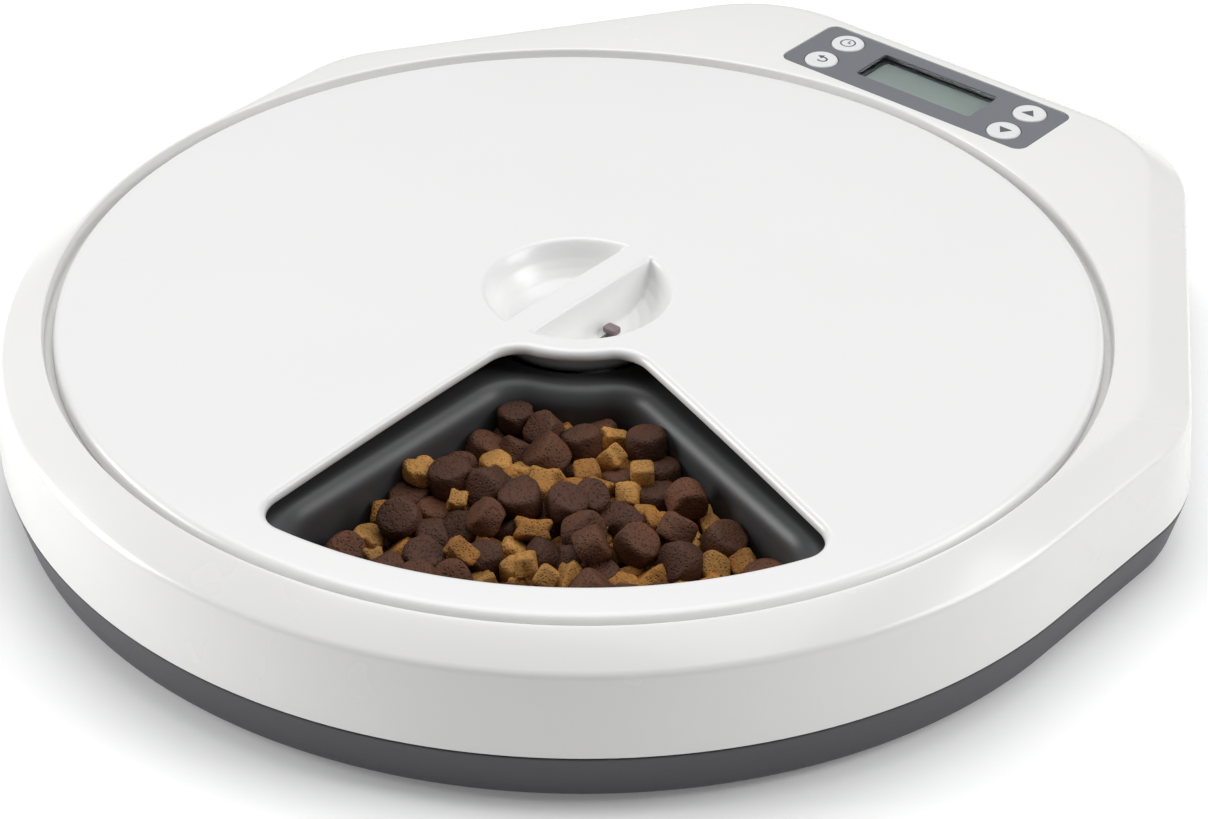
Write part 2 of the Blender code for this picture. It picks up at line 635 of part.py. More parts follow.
def make_lid():
    """White domed lid with the meal opening and the finger grip, resting on the casing's ledge."""
    start = LID_RADIUS - LID_EDGE_ROUND
    top = [(radius, dome_z(radius)) for radius in (start * k / 5 for k in range(5, 0, -1))]
    corner_z = dome_z(start) - LID_EDGE_ROUND
    edge = []
    for angle in (math.radians(60.0), math.radians(30.0)):
        radius = start + LID_EDGE_ROUND * math.sin(angle)
        edge.append((radius, corner_z + LID_EDGE_ROUND * math.cos(angle)))
    under_start = LID_RADIUS - LID_SKIN - 0.3 * MM
    thirds = [under_start * k / 3 for k in range(1, 4)]
    under = [(radius, dome_z(radius) - LID_SKIN) for radius in thirds]
    rest_z = LEDGE_Z + GAP
    profile = [(0.0, dome_z(0.0) - LID_SKIN), *under]
    profile += [(under_start, rest_z), (LID_RADIUS - 0.3 * MM, rest_z), (LID_RADIUS, corner_z)]
    profile += edge + top + [(0.0, dome_z(0.0))]
    lid = place("lid", turned(profile, 56), LID_WHITE)

    cup = [
        (0.0, GRIP_UNDER_Z),
        (GRIP_RADIUS - 5.5 * MM, GRIP_UNDER_Z),
        (GRIP_RADIUS - 0.5 * MM, GRIP_UNDER_Z + 3.0 * MM),
        (GRIP_RADIUS + GRIP_SKIN - 0.6 * MM, dome_z(GRIP_RADIUS) - 1.0 * MM),
        (0.0, dome_z(GRIP_RADIUS) - 1.0 * MM),
    ]
    join(lid, turned(cup, 28))

    bowl_profile = [
        (0.0, GRIP_Z),
        (GRIP_RADIUS - 12.0 * MM, GRIP_Z + 0.2 * MM),
        (GRIP_RADIUS - 6.0 * MM, GRIP_Z + 2.4 * MM),
        (GRIP_RADIUS - 2.2 * MM, GRIP_Z + 6.6 * MM),
        (GRIP_RADIUS - 0.4 * MM, dome_z(GRIP_RADIUS) - 1.2 * MM),
        (GRIP_RADIUS + 1.4 * MM, dome_z(GRIP_RADIUS) + 0.3 * MM),
        (GRIP_RADIUS + 1.4 * MM, CASING_Z + LID_DOME + 2.0 * MM),
        (0.0, CASING_Z + LID_DOME + 2.0 * MM),
    ]
    bowl = place("bowl_cutter", turned(bowl_profile, 32), LID_WHITE)
    reach = 2 * GRIP_RADIUS + 8.0 * MM
    ridge = lofted(
        [
            (rectangle(2 * RIDGE_HALF_FOOT, reach), GRIP_Z - 1.0 * MM),
            (rectangle(2 * RIDGE_HALF_TOP, reach), dome_z(0.0) - 0.8 * MM),
            (rectangle(2 * RIDGE_HALF_TOP - 1.0 * MM, reach), dome_z(0.0) + 6.0 * MM),
        ]
    )
    cut(bowl, ridge)
    wells = bmesh.new()
    wells.from_mesh(bowl.data)
    bpy.data.objects.remove(bowl)

    size = (OPENING_MARGIN, OPENING_INNER, OPENING_OUTER, OPENING_CORNER_INNER, OPENING_CORNER_OUTER)
    opening = wedge(OPENING_AXIS, *size)
    slot_low = LOCK_REST_Y - LOCK_TRAVEL - LOCK_STEM / 2 - 0.4 * MM
    slot_high = LOCK_REST_Y + LOCK_STEM / 2 + 0.4 * MM
    slot = block(
        LOCK_STEM + 0.8 * MM,
        slot_high - slot_low,
        GRIP_UNDER_Z - 2.0 * MM,
        GRIP_Z + 2.0 * MM,
        (LOCK_X, (slot_low + slot_high) / 2),
        1.0 * MM,
    )
    cut(lid, wells, prism(opening, LEDGE_Z - 5 * MM, CASING_Z + 20 * MM), slot)
    return lid


# ---- lid lock ------------------------------------------------------------------------------------
HEAD_RADIUS = HEX_FLAT - 0.5 * MM
NECK_RADIUS = 3.0 * MM
FORK_Z = HUB_Z + 0.9 * MM
FORK_THICK = 1.4 * MM
HEAD_Z = FORK_Z + FORK_THICK + GAP
HEAD_THICK = 1.5 * MM


def make_lock():
    """Slider under the grip: a tab in the well, and a fork that goes under the spindle's head."""
    block_top = GRIP_UNDER_Z - GAP
    rest = (LOCK_X, LOCK_REST_Y)
    tab = place(
        "lock_tab",
        block(4.4 * MM, 3.4 * MM, GRIP_Z + 1.1 * MM, GRIP_Z + 2.9 * MM, rest, 0.8 * MM),
        LATCH,
    )
    join(tab, block(LOCK_STEM, LOCK_STEM, block_top + GAP, GRIP_Z + 1.5 * MM, rest))

    tip_y = HEAD_RADIUS + 0.4 * MM
    throat_y = tip_y + NECK_RADIUS + 2.6 * MM
    back_y = throat_y + 4.0 * MM
    slit = NECK_RADIUS + GAP
    half = HEAD_RADIUS + 1.0 * MM
    arm_out = LOCK_X + 3.0 * MM
    arm_low = LOCK_REST_Y - 3.0 * MM
    fork_outline = [
        (-half, tip_y),
        (-slit, tip_y),
        (-slit, throat_y),
        (slit, throat_y),
        (slit, tip_y),
        (half, tip_y),
        (half, arm_low),
        (arm_out, arm_low),
        (arm_out, back_y),
        (-half, back_y),
    ]
    fork = place("lock_fork", prism(fork_outline, FORK_Z, FORK_Z + FORK_THICK), LATCH)
    pad_depth = back_y - arm_low
    pad = block(5.0 * MM, pad_depth, FORK_Z + 0.5 * MM, block_top, (LOCK_X, arm_low + pad_depth / 2))
    join(fork, pad)
    return tab, fork


# ---- drive ---------------------------------------------------------------------------------------
def gear_outline(teeth, backlash, phase=0.0):
    """A spur gear's outline with straight-sided teeth, thinned by the backlash."""
    pitch = GEAR_MODULE * teeth / 2
    tip = pitch + 0.85 * GEAR_MODULE
    root = pitch - 1.15 * GEAR_MODULE
    tooth = math.pi * GEAR_MODULE / 2 - backlash
    flanks = ((root, 1.45), (tip, 0.5), (tip, -0.5), (root, -1.45))
    points = []
    for k in range(teeth):
        middle = phase + math.tau * k / teeth
        for radius, width in flanks:
            angle = middle - width * tooth / 2 / pitch
            points.append((radius * math.cos(angle), radius * math.sin(angle)))
    return points


def bored(points, bore, low, high):
    """A flat wheel over an outline, with a round hole."""
    outer = prism(points, low, high)
    return outer, disc(bore, low - 1.0 * MM, high + 1.0 * MM, 20)


def make_spindle():
    """Turned shaft: pivot, journal, flange that carries the tray, hexagon, neck and lock head."""
    foot_z = FLOOR_Z + GAP
    shoulder_z = FLOOR_Z + 6.2 * MM
    flange_z = SPINDLE_FLANGE_Z
    profile = [
        (0.0, foot_z),
        (SPINDLE_RADIUS - 1.0 * MM, foot_z),
        (SPINDLE_RADIUS - 1.0 * MM, shoulder_z),
        (SPINDLE_RADIUS, shoulder_z),
        (SPINDLE_RADIUS, flange_z - 0.8 * MM),
        (SPINDLE_RADIUS + 6.0 * MM, flange_z - 0.8 * MM),
        (SPINDLE_RADIUS + 6.0 * MM, flange_z),
        (NECK_RADIUS, flange_z),
        (NECK_RADIUS, HEAD_Z),
        (HEAD_RADIUS, HEAD_Z),
        (HEAD_RADIUS, HEAD_Z + HEAD_THICK - 0.5 * MM),
        (HEAD_RADIUS - 0.8 * MM, HEAD_Z + HEAD_THICK),
        (0.0, HEAD_Z + HEAD_THICK),
    ]
    spindle = place("spindle", turned(profile), STEEL)
    hexagon = circle(HEX_FLAT / math.cos(math.pi / 6), 6)
    join(spindle, prism(hexagon, flange_z - 0.3 * MM, HUB_Z + GAP))
    return spindle


def make_drive():
    """Spindle, its bushes, both gears, the index cam and its switch, the motor and its screws."""
    make_spindle()
    bore = SPINDLE_RADIUS + SLIP
    wheel, hole = bored(gear_outline(GEAR_TEETH, BACKLASH), bore, GEAR_Z, GEAR_Z + GEAR_WIDTH)
    cut(place("spindle_gear", wheel, NYLON), hole)

    cam_radius = GEAR_MODULE * GEAR_TEETH / 2 - 1.5 * MM
    cam_z = GEAR_Z - 2.2 * MM
    plate, cam_hole = bored(circle(cam_radius, 40), bore, cam_z, cam_z + 1.5 * MM)
    cam = place("index_cam", plate, NYLON)
    notches = []
    for k in range(MEALS):
        at = polar(cam_radius + 0.4 * MM, 90.0 + MEAL_ANGLE * k)
        notches.append(disc(1.6 * MM, cam_z - 1.0 * MM, cam_z + 3.0 * MM, 12, at))
    cut(cam, cam_hole, *notches)

    nose_y = cam_radius + 0.8 * MM
    body_y = SWITCH_Y - 3.0 * MM
    body = rectangle(13.0 * MM, 6.0 * MM, (0.0, SWITCH_Y))
    switch = place("index_switch", prism(body, SWITCH_POST_Z + GAP, SWITCH_POST_Z + 6.8 * MM), BLACK)
    nose_depth = body_y - nose_y + 1.0 * MM
    nose = rectangle(2.4 * MM, nose_depth, (0.0, nose_y + nose_depth / 2), 0.8 * MM)
    join(switch, prism(nose, cam_z - 0.4 * MM, cam_z + 1.9 * MM))

    bush_inner = SPINDLE_RADIUS + 0.1 * MM
    flange_z = TURRET_Z + GAP
    upper = [
        (bush_inner, TURRET_Z - DECK - 1.0 * MM),
        (6.0 * MM, TURRET_Z - DECK - 1.0 * MM),
        (6.0 * MM, flange_z),
        (8.5 * MM, flange_z),
        (8.5 * MM, flange_z + 0.8 * MM),
        (bush_inner, flange_z + 0.8 * MM),
    ]
    place("upper_bush", turned(upper), NYLON)
    lower_inner = SPINDLE_RADIUS - 0.9 * MM
    lower_flange_z = LOWER_BOSS_Z + GAP
    lower = [
        (lower_inner, FLOOR_Z + 0.5 * MM),
        (LOWER_BUSH, FLOOR_Z + 0.5 * MM),
        (LOWER_BUSH, lower_flange_z),
        (LOWER_BOSS - GAP, lower_flange_z),
        (LOWER_BOSS - GAP, lower_flange_z + 0.8 * MM),
        (lower_inner, lower_flange_z + 0.8 * MM),
    ]
    place("lower_bush", turned(lower), NYLON)

    motor_low = FLOOR_Z + 0.4 * MM
    motor_high = motor_low + MOTOR_HEIGHT
    can = disc(MOTOR_RADIUS, motor_low, motor_high, 32, CAN_AT)
    motor = place("gear_motor", can, STEEL)
    ear_z = MOTOR_POST_Z + GAP
    join(motor, block(2 * MOTOR_EAR + 5.0 * MM, 6.0 * MM, ear_z, ear_z + 1.4 * MM, CAN_AT, 2.4 * MM))
    shaft_bore = disc(1.5 * MM + SLIP, motor_high - 5.0 * MM, motor_high + 1.0 * MM, 16, MOTOR_AT)
    ear_holes = [
        disc(SCREW_RADIUS + SLIP, ear_z - 1.0 * MM, ear_z + 3.0 * MM, 12, at) for at in MOTOR_EARS
    ]
    cut(motor, shaft_bore, *ear_holes)
    for number, at in enumerate(MOTOR_EARS, 1):
        make_screw("motor_screw_%d" % number, at, ear_z + 1.4 * MM + GAP, 1, 6.0 * MM, 2.3 * MM)

    shaft = disc(1.5 * MM, motor_high - 4.6 * MM, GEAR_Z + GEAR_WIDTH + 0.6 * MM, 16)
    place("motor_shaft", shaft, STEEL, (*MOTOR_AT, 0.0))
    phase = math.pi / 2
    pinion = place(
        "motor_pinion",
        prism(gear_outline(PINION_TEETH, BACKLASH, phase), GEAR_Z, GEAR_Z + GEAR_WIDTH),
        NYLON,
        (*MOTOR_AT, 0.0),
    )
    cut(pinion, disc(1.5 * MM + SLIP, GEAR_Z - 1.0 * MM, GEAR_Z + GEAR_WIDTH + 1.0 * MM, 16, MOTOR_AT))


def make_screw(name, at, head_z, up, length, head_radius=SCREW_HEAD_RADIUS):
    """A pan-head screw. Its head's flat side is at head_z and its head points up or down."""
    head = 1.4 * MM
    profile = [
        (0.0, -length),
        (SCREW_RADIUS * 0.5, -length),
        (SCREW_RADIUS, -length + 1.0 * MM),
        (SCREW_RADIUS, 0.0),
        (head_radius, 0.0),
        (head_radius, head * 0.6),
        (head_radius * 0.7, head),
        (0.0, head),
    ]
    turn = (0.0, 0.0, 0.0) if up > 0 else (math.pi, 0.0, 0.0)
    return place(name, turned(profile, 8), STEEL, (at[0], at[1], head_z), turn)


# ---- console -------------------------------------------------------------------------------------
def make_console():
    """Overlay, window, display, board, beeper, and for each button its cap and its switch."""
    top = OVERLAY_Z + OVERLAY_THICK
    overlay = place(
        "control_overlay",
        block(PANEL_WIDTH, PANEL_DEPTH, OVERLAY_Z, top, (0.0, PANEL_Y), PANEL_CORNER),
        LABEL,
    )
    holes = [
        disc(BUTTON_RADIUS + SLIP, OVERLAY_Z - 1.0 * MM, OVERLAY_Z + 2.0 * MM, 16, at)
        for at in BUTTON_PLACES.values()
    ]
    window = rectangle(WINDOW_WIDTH, WINDOW_DEPTH, WINDOW_AT, 1.0 * MM)
    cut(overlay, prism(window, OVERLAY_Z - 1.0 * MM, top + 1.0 * MM), *holes)

    lens = rectangle(WINDOW_WIDTH + 6.4 * MM, WINDOW_DEPTH + 3.4 * MM, WINDOW_AT, 1.2 * MM)
    lens_z = OVERLAY_Z - GAP - 1.2 * MM
    place("display_window", prism(lens, lens_z, lens_z + 1.2 * MM), CLEAR)
    module_low = BOARD_Z + BOARD + GAP
    module_high = lens_z - 0.5 * MM
    module = rectangle(WINDOW_WIDTH + 5.0 * MM, WINDOW_DEPTH + 3.0 * MM, WINDOW_AT, 0.8 * MM)
    place("display_module", prism(module, module_low, module_high), DISPLAY)

    plate = block(BOARD_WIDTH, BOARD_DEPTH, BOARD_Z, BOARD_Z + BOARD, (0.0, BOARD_Y))
    board = place("circuit_board", plate, BOARD_GREEN)
    board_holes = [
        disc(SCREW_RADIUS + SLIP, BOARD_Z - 1.0 * MM, BOARD_Z + 3.0 * MM, 12, at) for at in BOARD_SCREWS
    ]
    cut(board, *board_holes)
    for number, at in enumerate(BOARD_SCREWS, 1):
        make_screw("board_screw_%d" % number, at, BOARD_Z - GAP, -1, 6.0 * MM, 2.4 * MM)
    beeper = [
        (0.0, -5.0 * MM),
        (5.8 * MM, -5.0 * MM),
        (6.0 * MM, -4.6 * MM),
        (6.0 * MM, 0.0),
        (0.0, 0.0),
    ]
    place("beeper", turned(beeper), BLACK, (0.0, BOARD_Y, BOARD_Z - GAP))

    cap_top = top + 0.4 * MM
    flange_high = SKIN_Z - GAP
    stem_low = flange_high - 2.4 * MM
    switch_low = BOARD_Z + BOARD + GAP
    switch_stem_z = stem_low - BUTTON_TRAVEL - GAP
    for name, (x, y) in BUTTON_PLACES.items():
        cap = [
            (0.0, stem_low),
            (1.8 * MM, stem_low),
            (1.8 * MM, flange_high - 1.0 * MM),
            (BUTTON_RADIUS + BUTTON_FLANGE, flange_high - 1.0 * MM),
            (BUTTON_RADIUS + BUTTON_FLANGE, flange_high),
            (BUTTON_RADIUS, flange_high),
            (BUTTON_RADIUS, cap_top - 0.5 * MM),
            (BUTTON_RADIUS - 0.6 * MM, cap_top - 0.1 * MM),
            (BUTTON_RADIUS * 0.5, cap_top),
            (0.0, cap_top),
        ]
        place("button_" + name, turned(cap, 16), BUTTON, (x, y, 0.0))
        switch = place(
            "switch_" + name,
            block(6.0 * MM, 6.0 * MM, switch_low, switch_stem_z - 0.8 * MM, (x, y)),
            BLACK,
        )
        join(switch, disc(1.7 * MM, switch_stem_z - 1.2 * MM, switch_stem_z, 12, (x, y)))


# ---- power ---------------------------------------------------------------------------------------
def make_cells():
    """Four AA cells lying along X in two rows, with the contacts at both ends of the rows."""
    cap = 1.5 * MM
    body = [
        (0.0, -CELL_LENGTH / 2),
        (CELL_RADIUS - 0.6 * MM, -CELL_LENGTH / 2),
        (CELL_RADIUS, -CELL_LENGTH / 2 + 0.6 * MM),
        (CELL_RADIUS, CELL_LENGTH / 2 - cap - 0.6 * MM),
        (CELL_RADIUS - 0.6 * MM, CELL_LENGTH / 2 - cap),
        (2.6 * MM, CELL_LENGTH / 2 - cap),
        (2.6 * MM, CELL_LENGTH / 2),
        (0.0, CELL_LENGTH / 2),
    ]
    number = 0
    for row, heading in ((-1, 1), (1, -1)):
        for side in (-1, 1):
            number += 1
            at = (side * (CELL_LENGTH + 0.4 * MM) / 2, BAY_Y + row * CELL_ROW / 2, CELL_Z)
            place("battery_%d" % number, turned(body, 14), CELL, at, (0.0, heading * math.pi / 2, 0.0))

    end = BAY_WIDTH / 2 - GAP
    sheet = 0.5 * MM
    low = BASE_Z + FLOOR + 0.6 * MM
    high = BAY_TOP_Z - GAP
    bridge = place(
        "battery_bridge",
        block(sheet, CELL_ROW + 11.0 * MM, low, high, (-end + sheet / 2, BAY_Y)),
        STEEL,
    )
    cone_height = (BAY_WIDTH / 2 - CELL_LENGTH - 0.2 * MM) - 2 * GAP - sheet
    for row in (-1, 1):
        join(bridge, contact_cone(-end + sheet, 1, BAY_Y + row * CELL_ROW / 2, cone_height))
    for name, row in (("battery_plus", -1), ("battery_minus", 1)):
        at_y = BAY_Y + row * CELL_ROW / 2
        plate = place(name, block(sheet, 11.0 * MM, low, high, (end - sheet / 2, at_y)), STEEL)
        join(plate, contact_cone(end - sheet, -1, at_y, cone_height))


def contact_cone(x, direction, y, height):
    """The spring cone of a battery contact, drawn as rings that narrow towards the cell."""
    shape = bmesh.new()
    loops = []
    radii = (4.2 * MM, 4.2 * MM, 3.6 * MM, 3.6 * MM, 3.0 * MM)
    offsets = (-0.3 * MM, height * 0.3, height * 0.3, height * 0.7, height * 0.7)
    levels = [*zip(radii, offsets), (3.0 * MM, height)]
    for radius, offset in levels:
        loop = []
        for a, b in circle(radius, 10):
            loop.append(shape.verts.new((x + direction * offset, y + a, CELL_Z + b)))
        loops.append(loop)
    for low, high in zip(loops, loops[1:]):
        for k in range(len(low)):
            after = (k + 1) % len(low)
            shape.faces.new((low[k], low[after], high[after], high[k]))
    shape.faces.new(loops[0][::-1])
    shape.faces.new(loops[-1])
    return shape


def make_lead(name, route, radius):
    """An internal lead along a smooth curve through its route's points."""
    points = [Vector(p) for p in route]
    padded = [points[0] * 2 - points[1], *points, points[-1] * 2 - points[-2]]
    smooth = []
    for before, start, end, after in zip(padded, padded[1:], padded[2:], padded[3:]):
        count = max(2, round((end - start).length / (9 * radius)))
        for k in range(count):
            t = k / count
            smooth.append(
                0.5 * (2 * start + (end - before) * t + (2 * before - 5 * start + 4 * end - after) * t**2
                       + (3 * start - before - 3 * end + after) * t**3)
            )
    smooth.append(points[-1])
    curve = bpy.data.curves.new(name, "CURVE")
    curve.dimensions = "3D"
    curve.bevel_depth = radius
    curve.bevel_resolution = 2
    curve.use_fill_caps = True
    spline = curve.splines.new("POLY")
    spline.points.add(len(smooth) - 1)
    for target, point in zip(spline.points, smooth):
        target.co = (*point, 1.0)
    curve.materials.append(INSULATION)
    lead = bpy.data.objects.new(name, curve)
    bpy.context.scene.collection.objects.link(lead)
    lead.parent = AXIS
    return lead


def make_leads():
    """Motor lead under the deck and battery lead beside the bay, both from the board's underside."""
    radius = 1.1 * MM
    start_z = BOARD_Z - radius - GAP
    side = BAY_WIDTH / 2 + BAY_WALL
    low_z = FLOOR_Z + 3.0 * MM
    corner = (MOTOR_RADIUS + radius + GAP) * math.sqrt(0.5)
    motor_side = Vector((CAN_AT[0] + corner, CAN_AT[1] + corner, FLOOR_Z + 4.5 * MM))
    outward = Vector((1.0, 1.0, 0.0)).normalized()
    motor_route = [
        (BOARD_WIDTH / 2 - 8 * MM, BOARD_Y - 8 * MM, start_z),
        (side + 1 * MM, BAY_Y - 14 * MM, start_z - 1 * MM),
        (side + 8 * MM, BAY_Y - 18 * MM, (start_z + low_z) / 2),
        (side + 8 * MM, BAY_Y - 24 * MM, low_z + 6 * MM),
        (side + 2 * MM, RECESS_RADIUS - 4 * MM, low_z),
        (0.75 * side, RECESS_RADIUS * 0.62, low_z),
        (0.5 * side, RECESS_RADIUS * 0.27, low_z),
        tuple(motor_side + outward * 9 * MM),
        tuple(motor_side),
    ]
    make_lead("motor_lead", motor_route, radius)
    battery_route = [
        (side + radius + GAP, BAY_Y, CELL_Z + 2 * MM),
        (side + 5 * MM, BAY_Y + 1 * MM, CELL_Z + 6 * MM),
        (side + 4 * MM, BAY_Y, start_z - 4 * MM),
        (BOARD_WIDTH / 2 - 6 * MM, BOARD_Y + 3 * MM, start_z),
    ]
    make_lead("battery_lead", battery_route, radius)


def make_feet():
    """Five rubber feet stuck under the base."""
    for number, at in enumerate(FEET, 1):
        foot = [
            (0.0, 0.0),
            (6.5 * MM, 0.0),
            (7.5 * MM, 0.6 * MM),
            (7.5 * MM, BASE_Z - GAP),
            (0.0, BASE_Z - GAP),
        ]
        place("foot_%d" % number, turned(foot, 16), RUBBER, (*at, 0.0))


make_top_shell()
make_base_shell()
make_battery_door()
make_tray()
make_lid()
make_lock()
make_drive()
make_console()
make_cells()
make_leads()
make_feet()
for index, screw_at in enumerate(CASE_SCREWS, 1):
    make_screw("case_screw_%d" % index, screw_at, BASE_Z + 1.5 * MM - GAP, -1, 7.0 * MM)
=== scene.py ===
"""Rotary five-meal pet feeder, finished piece by piece on its frame, in metres with +Z up."""
import math

import bmesh
import bpy
import numpy as np
from mathutils import Matrix, Vector


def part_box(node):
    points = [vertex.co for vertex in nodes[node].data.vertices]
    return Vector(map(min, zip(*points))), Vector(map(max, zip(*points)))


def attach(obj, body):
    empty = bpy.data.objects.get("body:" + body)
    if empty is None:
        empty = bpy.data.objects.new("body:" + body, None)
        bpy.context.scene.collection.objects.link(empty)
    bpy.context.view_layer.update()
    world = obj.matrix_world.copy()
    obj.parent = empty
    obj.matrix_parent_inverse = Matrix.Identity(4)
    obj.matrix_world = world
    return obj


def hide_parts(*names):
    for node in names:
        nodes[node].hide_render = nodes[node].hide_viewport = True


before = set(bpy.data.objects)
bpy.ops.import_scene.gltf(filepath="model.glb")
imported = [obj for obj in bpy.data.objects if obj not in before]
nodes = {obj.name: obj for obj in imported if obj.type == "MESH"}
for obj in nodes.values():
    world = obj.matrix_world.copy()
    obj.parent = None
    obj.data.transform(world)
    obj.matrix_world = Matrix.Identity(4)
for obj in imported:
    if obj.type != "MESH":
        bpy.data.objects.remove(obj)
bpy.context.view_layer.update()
scene = bpy.context.scene

# ---- room ----------------------------------------------------------------------------------------
# A pale floor under a broad softbox, with a long strip on each side and less light from the front.
# The camera looks down on the served meal from the front right of the console's axis.
scene.view_settings.view_transform = "Standard"

world = bpy.data.worlds.new("studio")
world.use_nodes = True
world.node_tree.nodes["Background"].inputs["Color"].default_value = (0.97, 0.985, 1.0, 1.0)
world.node_tree.nodes["Background"].inputs["Strength"].default_value = 0.13
scene.world = world


def softbox(name, at, width, depth, watts):
    """A rectangular area light at a point, facing the middle of the floor."""
    light = bpy.data.lights.new(name, "AREA")
    light.shape = "RECTANGLE"
    light.size = width
    light.size_y = depth
    light.energy = watts
    lamp = bpy.data.objects.new(name, light)
    scene.collection.objects.link(lamp)
    facing = (-Vector(at)).to_track_quat("-Z", "Y")
    lamp.matrix_world = Matrix.Translation(at) @ facing.to_matrix().to_4x4()


softbox("overhead", (-0.15, 0.35, 1.7), 1.8, 1.6, 24.0)
softbox("left_strip", (-1.35, -0.95, 0.55), 0.9, 1.0, 21.0)
softbox("right_strip", (1.25, 0.80, 1.0), 0.9, 1.0, 14.0)


def wire(node, inputs):
    """Sets a shader node's sockets: another node's output is linked, anything else is a constant."""
    for socket, value in inputs.items():
        if isinstance(value, bpy.types.NodeSocket):
            node.id_data.links.new(value, node.inputs[socket])
        else:
            node.inputs[socket].default_value = value


def new_material(name):
    """A new node material, its main shader, and the output that gives object coordinates."""
    material = bpy.data.materials.new(name)
    material.use_nodes = True
    tree = material.node_tree
    return material, tree.nodes["Principled BSDF"], tree.nodes.new("ShaderNodeTexCoord").outputs["Object"]


FLOOR_REACH = 6.0
floor_material, floor_shader, _ = new_material("pale_floor")
floor_white = (0.93, 0.93, 0.93, 1.0)
floor_glow = {"Emission Color": (1.0, 1.0, 1.0, 1.0), "Emission Strength": 0.13}
wire(floor_shader, {"Base Color": floor_white, "Roughness": 0.6, **floor_glow})
floor_corners = [(x * FLOOR_REACH, y * FLOOR_REACH, 0.0) for x, y in ((-1, -1), (1, -1), (1, 1), (-1, 1))]
floor_mesh = bpy.data.meshes.new("floor")
floor_mesh.from_pydata(floor_corners, [], [(0, 1, 2, 3)])
floor_mesh.materials.append(floor_material)
floor = bpy.data.objects.new("floor", floor_mesh)
scene.collection.objects.link(floor)

tray_low, tray_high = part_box("tray")
AXIS_Y = (tray_low.y + tray_high.y) / 2
CAMERA_TURN = math.radians(40.0)
CAMERA_REACH = 0.78506
CAMERA_HEIGHT = 0.53960
CAMERA_YAW = 0.0091
CAMERA_PITCH = 0.593
CAMERA_ROLL = 0.0146

camera_data = bpy.data.cameras.new("camera")
camera_data.sensor_width = 36.0
camera_data.lens = 100.88
camera = bpy.data.objects.new("camera", camera_data)
scene.collection.objects.link(camera)
level = Matrix.Rotation(CAMERA_TURN - CAMERA_YAW, 4, "Z")
tilt = Matrix.Rotation(math.pi / 2 - CAMERA_PITCH, 4, "X")
roll = Matrix.Rotation(CAMERA_ROLL, 4, "Z")
camera_at = Matrix.Rotation(CAMERA_TURN, 4, "Z") @ Vector((0.0, -CAMERA_REACH, CAMERA_HEIGHT))
camera.matrix_world = Matrix.Translation(camera_at + Vector((0.0, AXIS_Y, 0.0))) @ level @ tilt @ roll
scene.camera = camera


# ---- base shell ----------------------------------------------------------------------------------
# The dark grey floor pan, moulded in matte plastic. Its wall leans in towards the floor, its top edge
# meets the casing in a fine groove, and the battery bay and six screw wells are cut in from below.
MM = 0.001
WALL_RADIUS = 157.4 * MM
FACET_DISTANCE = 166.6 * MM
REAR_DISTANCE = 190.9 * MM
FACET_ANGLE = math.radians(32.5)
CORNER_RADIUS = 50.0 * MM
WALL_DRAFT = 2.1 * MM
SHELL = 2.4 * MM
BASE_LOW = 2.0 * MM
BASE_FLOOR = 4.5 * MM
PARTING = 16.5 * MM
BASE_FOOT = -1.6 * MM


def casing_anchors():
    """Centre, normal angle and radius along the plan: a half circle in front, then arcs and flats."""
    wall = WALL_RADIUS - CORNER_RADIUS
    facet = FACET_DISTANCE - CORNER_RADIUS
    rear = REAR_DISTANCE - CORNER_RADIUS
    side_y = (facet - wall * math.cos(FACET_ANGLE)) / math.sin(FACET_ANGLE)
    rear_x = (facet - rear * math.sin(FACET_ANGLE)) / math.cos(FACET_ANGLE)
    stretches = [
        ((wall, 0.0), (wall, side_y), 0.0, 0.0, 12),
        ((wall, side_y), (wall, side_y), 0.0, FACET_ANGLE, 14),
        ((wall, side_y), (rear_x, rear), FACET_ANGLE, FACET_ANGLE, 16),
        ((rear_x, rear), (rear_x, rear), FACET_ANGLE, math.pi / 2, 24),
        ((rear_x, rear), (0.0, rear), math.pi / 2, math.pi / 2, 14),
    ]
    right = []
    for (x0, y0), (x1, y1), start, end, count in stretches:
        t = np.arange(count)[:, None] / count
        right.append(np.hstack([x0 + (x1 - x0) * t, y0 + (y1 - y0) * t, start + (end - start) * t]))
    right = np.vstack(right)
    middle = np.array([[0.0, rear, math.pi / 2]])
    left = right[::-1] * [-1.0, 1.0, -1.0] + [0.0, 0.0, math.pi]
    corners = np.vstack([right, middle, left])
    front = np.zeros((119, 3))
    front[:, 2] = math.pi + np.arange(1, 120) * math.pi / 120
    radii = np.concatenate([np.full(len(corners), CORNER_RADIUS), np.full(119, WALL_RADIUS)])
    return np.column_stack([np.vstack([corners, front]), radii])


ANCHORS = casing_anchors()


def outline(grow):
    """The plan grown outwards evenly: each centre plus its radius and the growth along its normal."""
    x, y, angle, radius = ANCHORS.T
    return np.column_stack([x + (radius + grow) * np.cos(angle), y + (radius + grow) * np.sin(angle)])


def level_row(plan, z):
    """A closed row of points at one height, moved from the tray's axis to the frame's origin."""
    return np.column_stack([plan[:, 0], plan[:, 1] + AXIS_Y, np.full(len(plan), z)])


def bend(before, corner, after, steps=5):
    """Rows that round a corner: each point runs on the parabola (1-t)^2 A + 2t(1-t) C + t^2 B."""
    t = np.linspace(0.0, 1.0, steps)[:, None, None]
    return list((1 - t) ** 2 * before + 2 * t * (1 - t) * corner + t**2 * after)


def toward(start, end, distance):
    """Points that lie a distance from one row of points towards another."""
    way = end - start
    length = np.linalg.norm(way, axis=1, keepdims=True)
    return start + way / np.maximum(length, 1e-9) * np.minimum(distance, 0.5 * length)


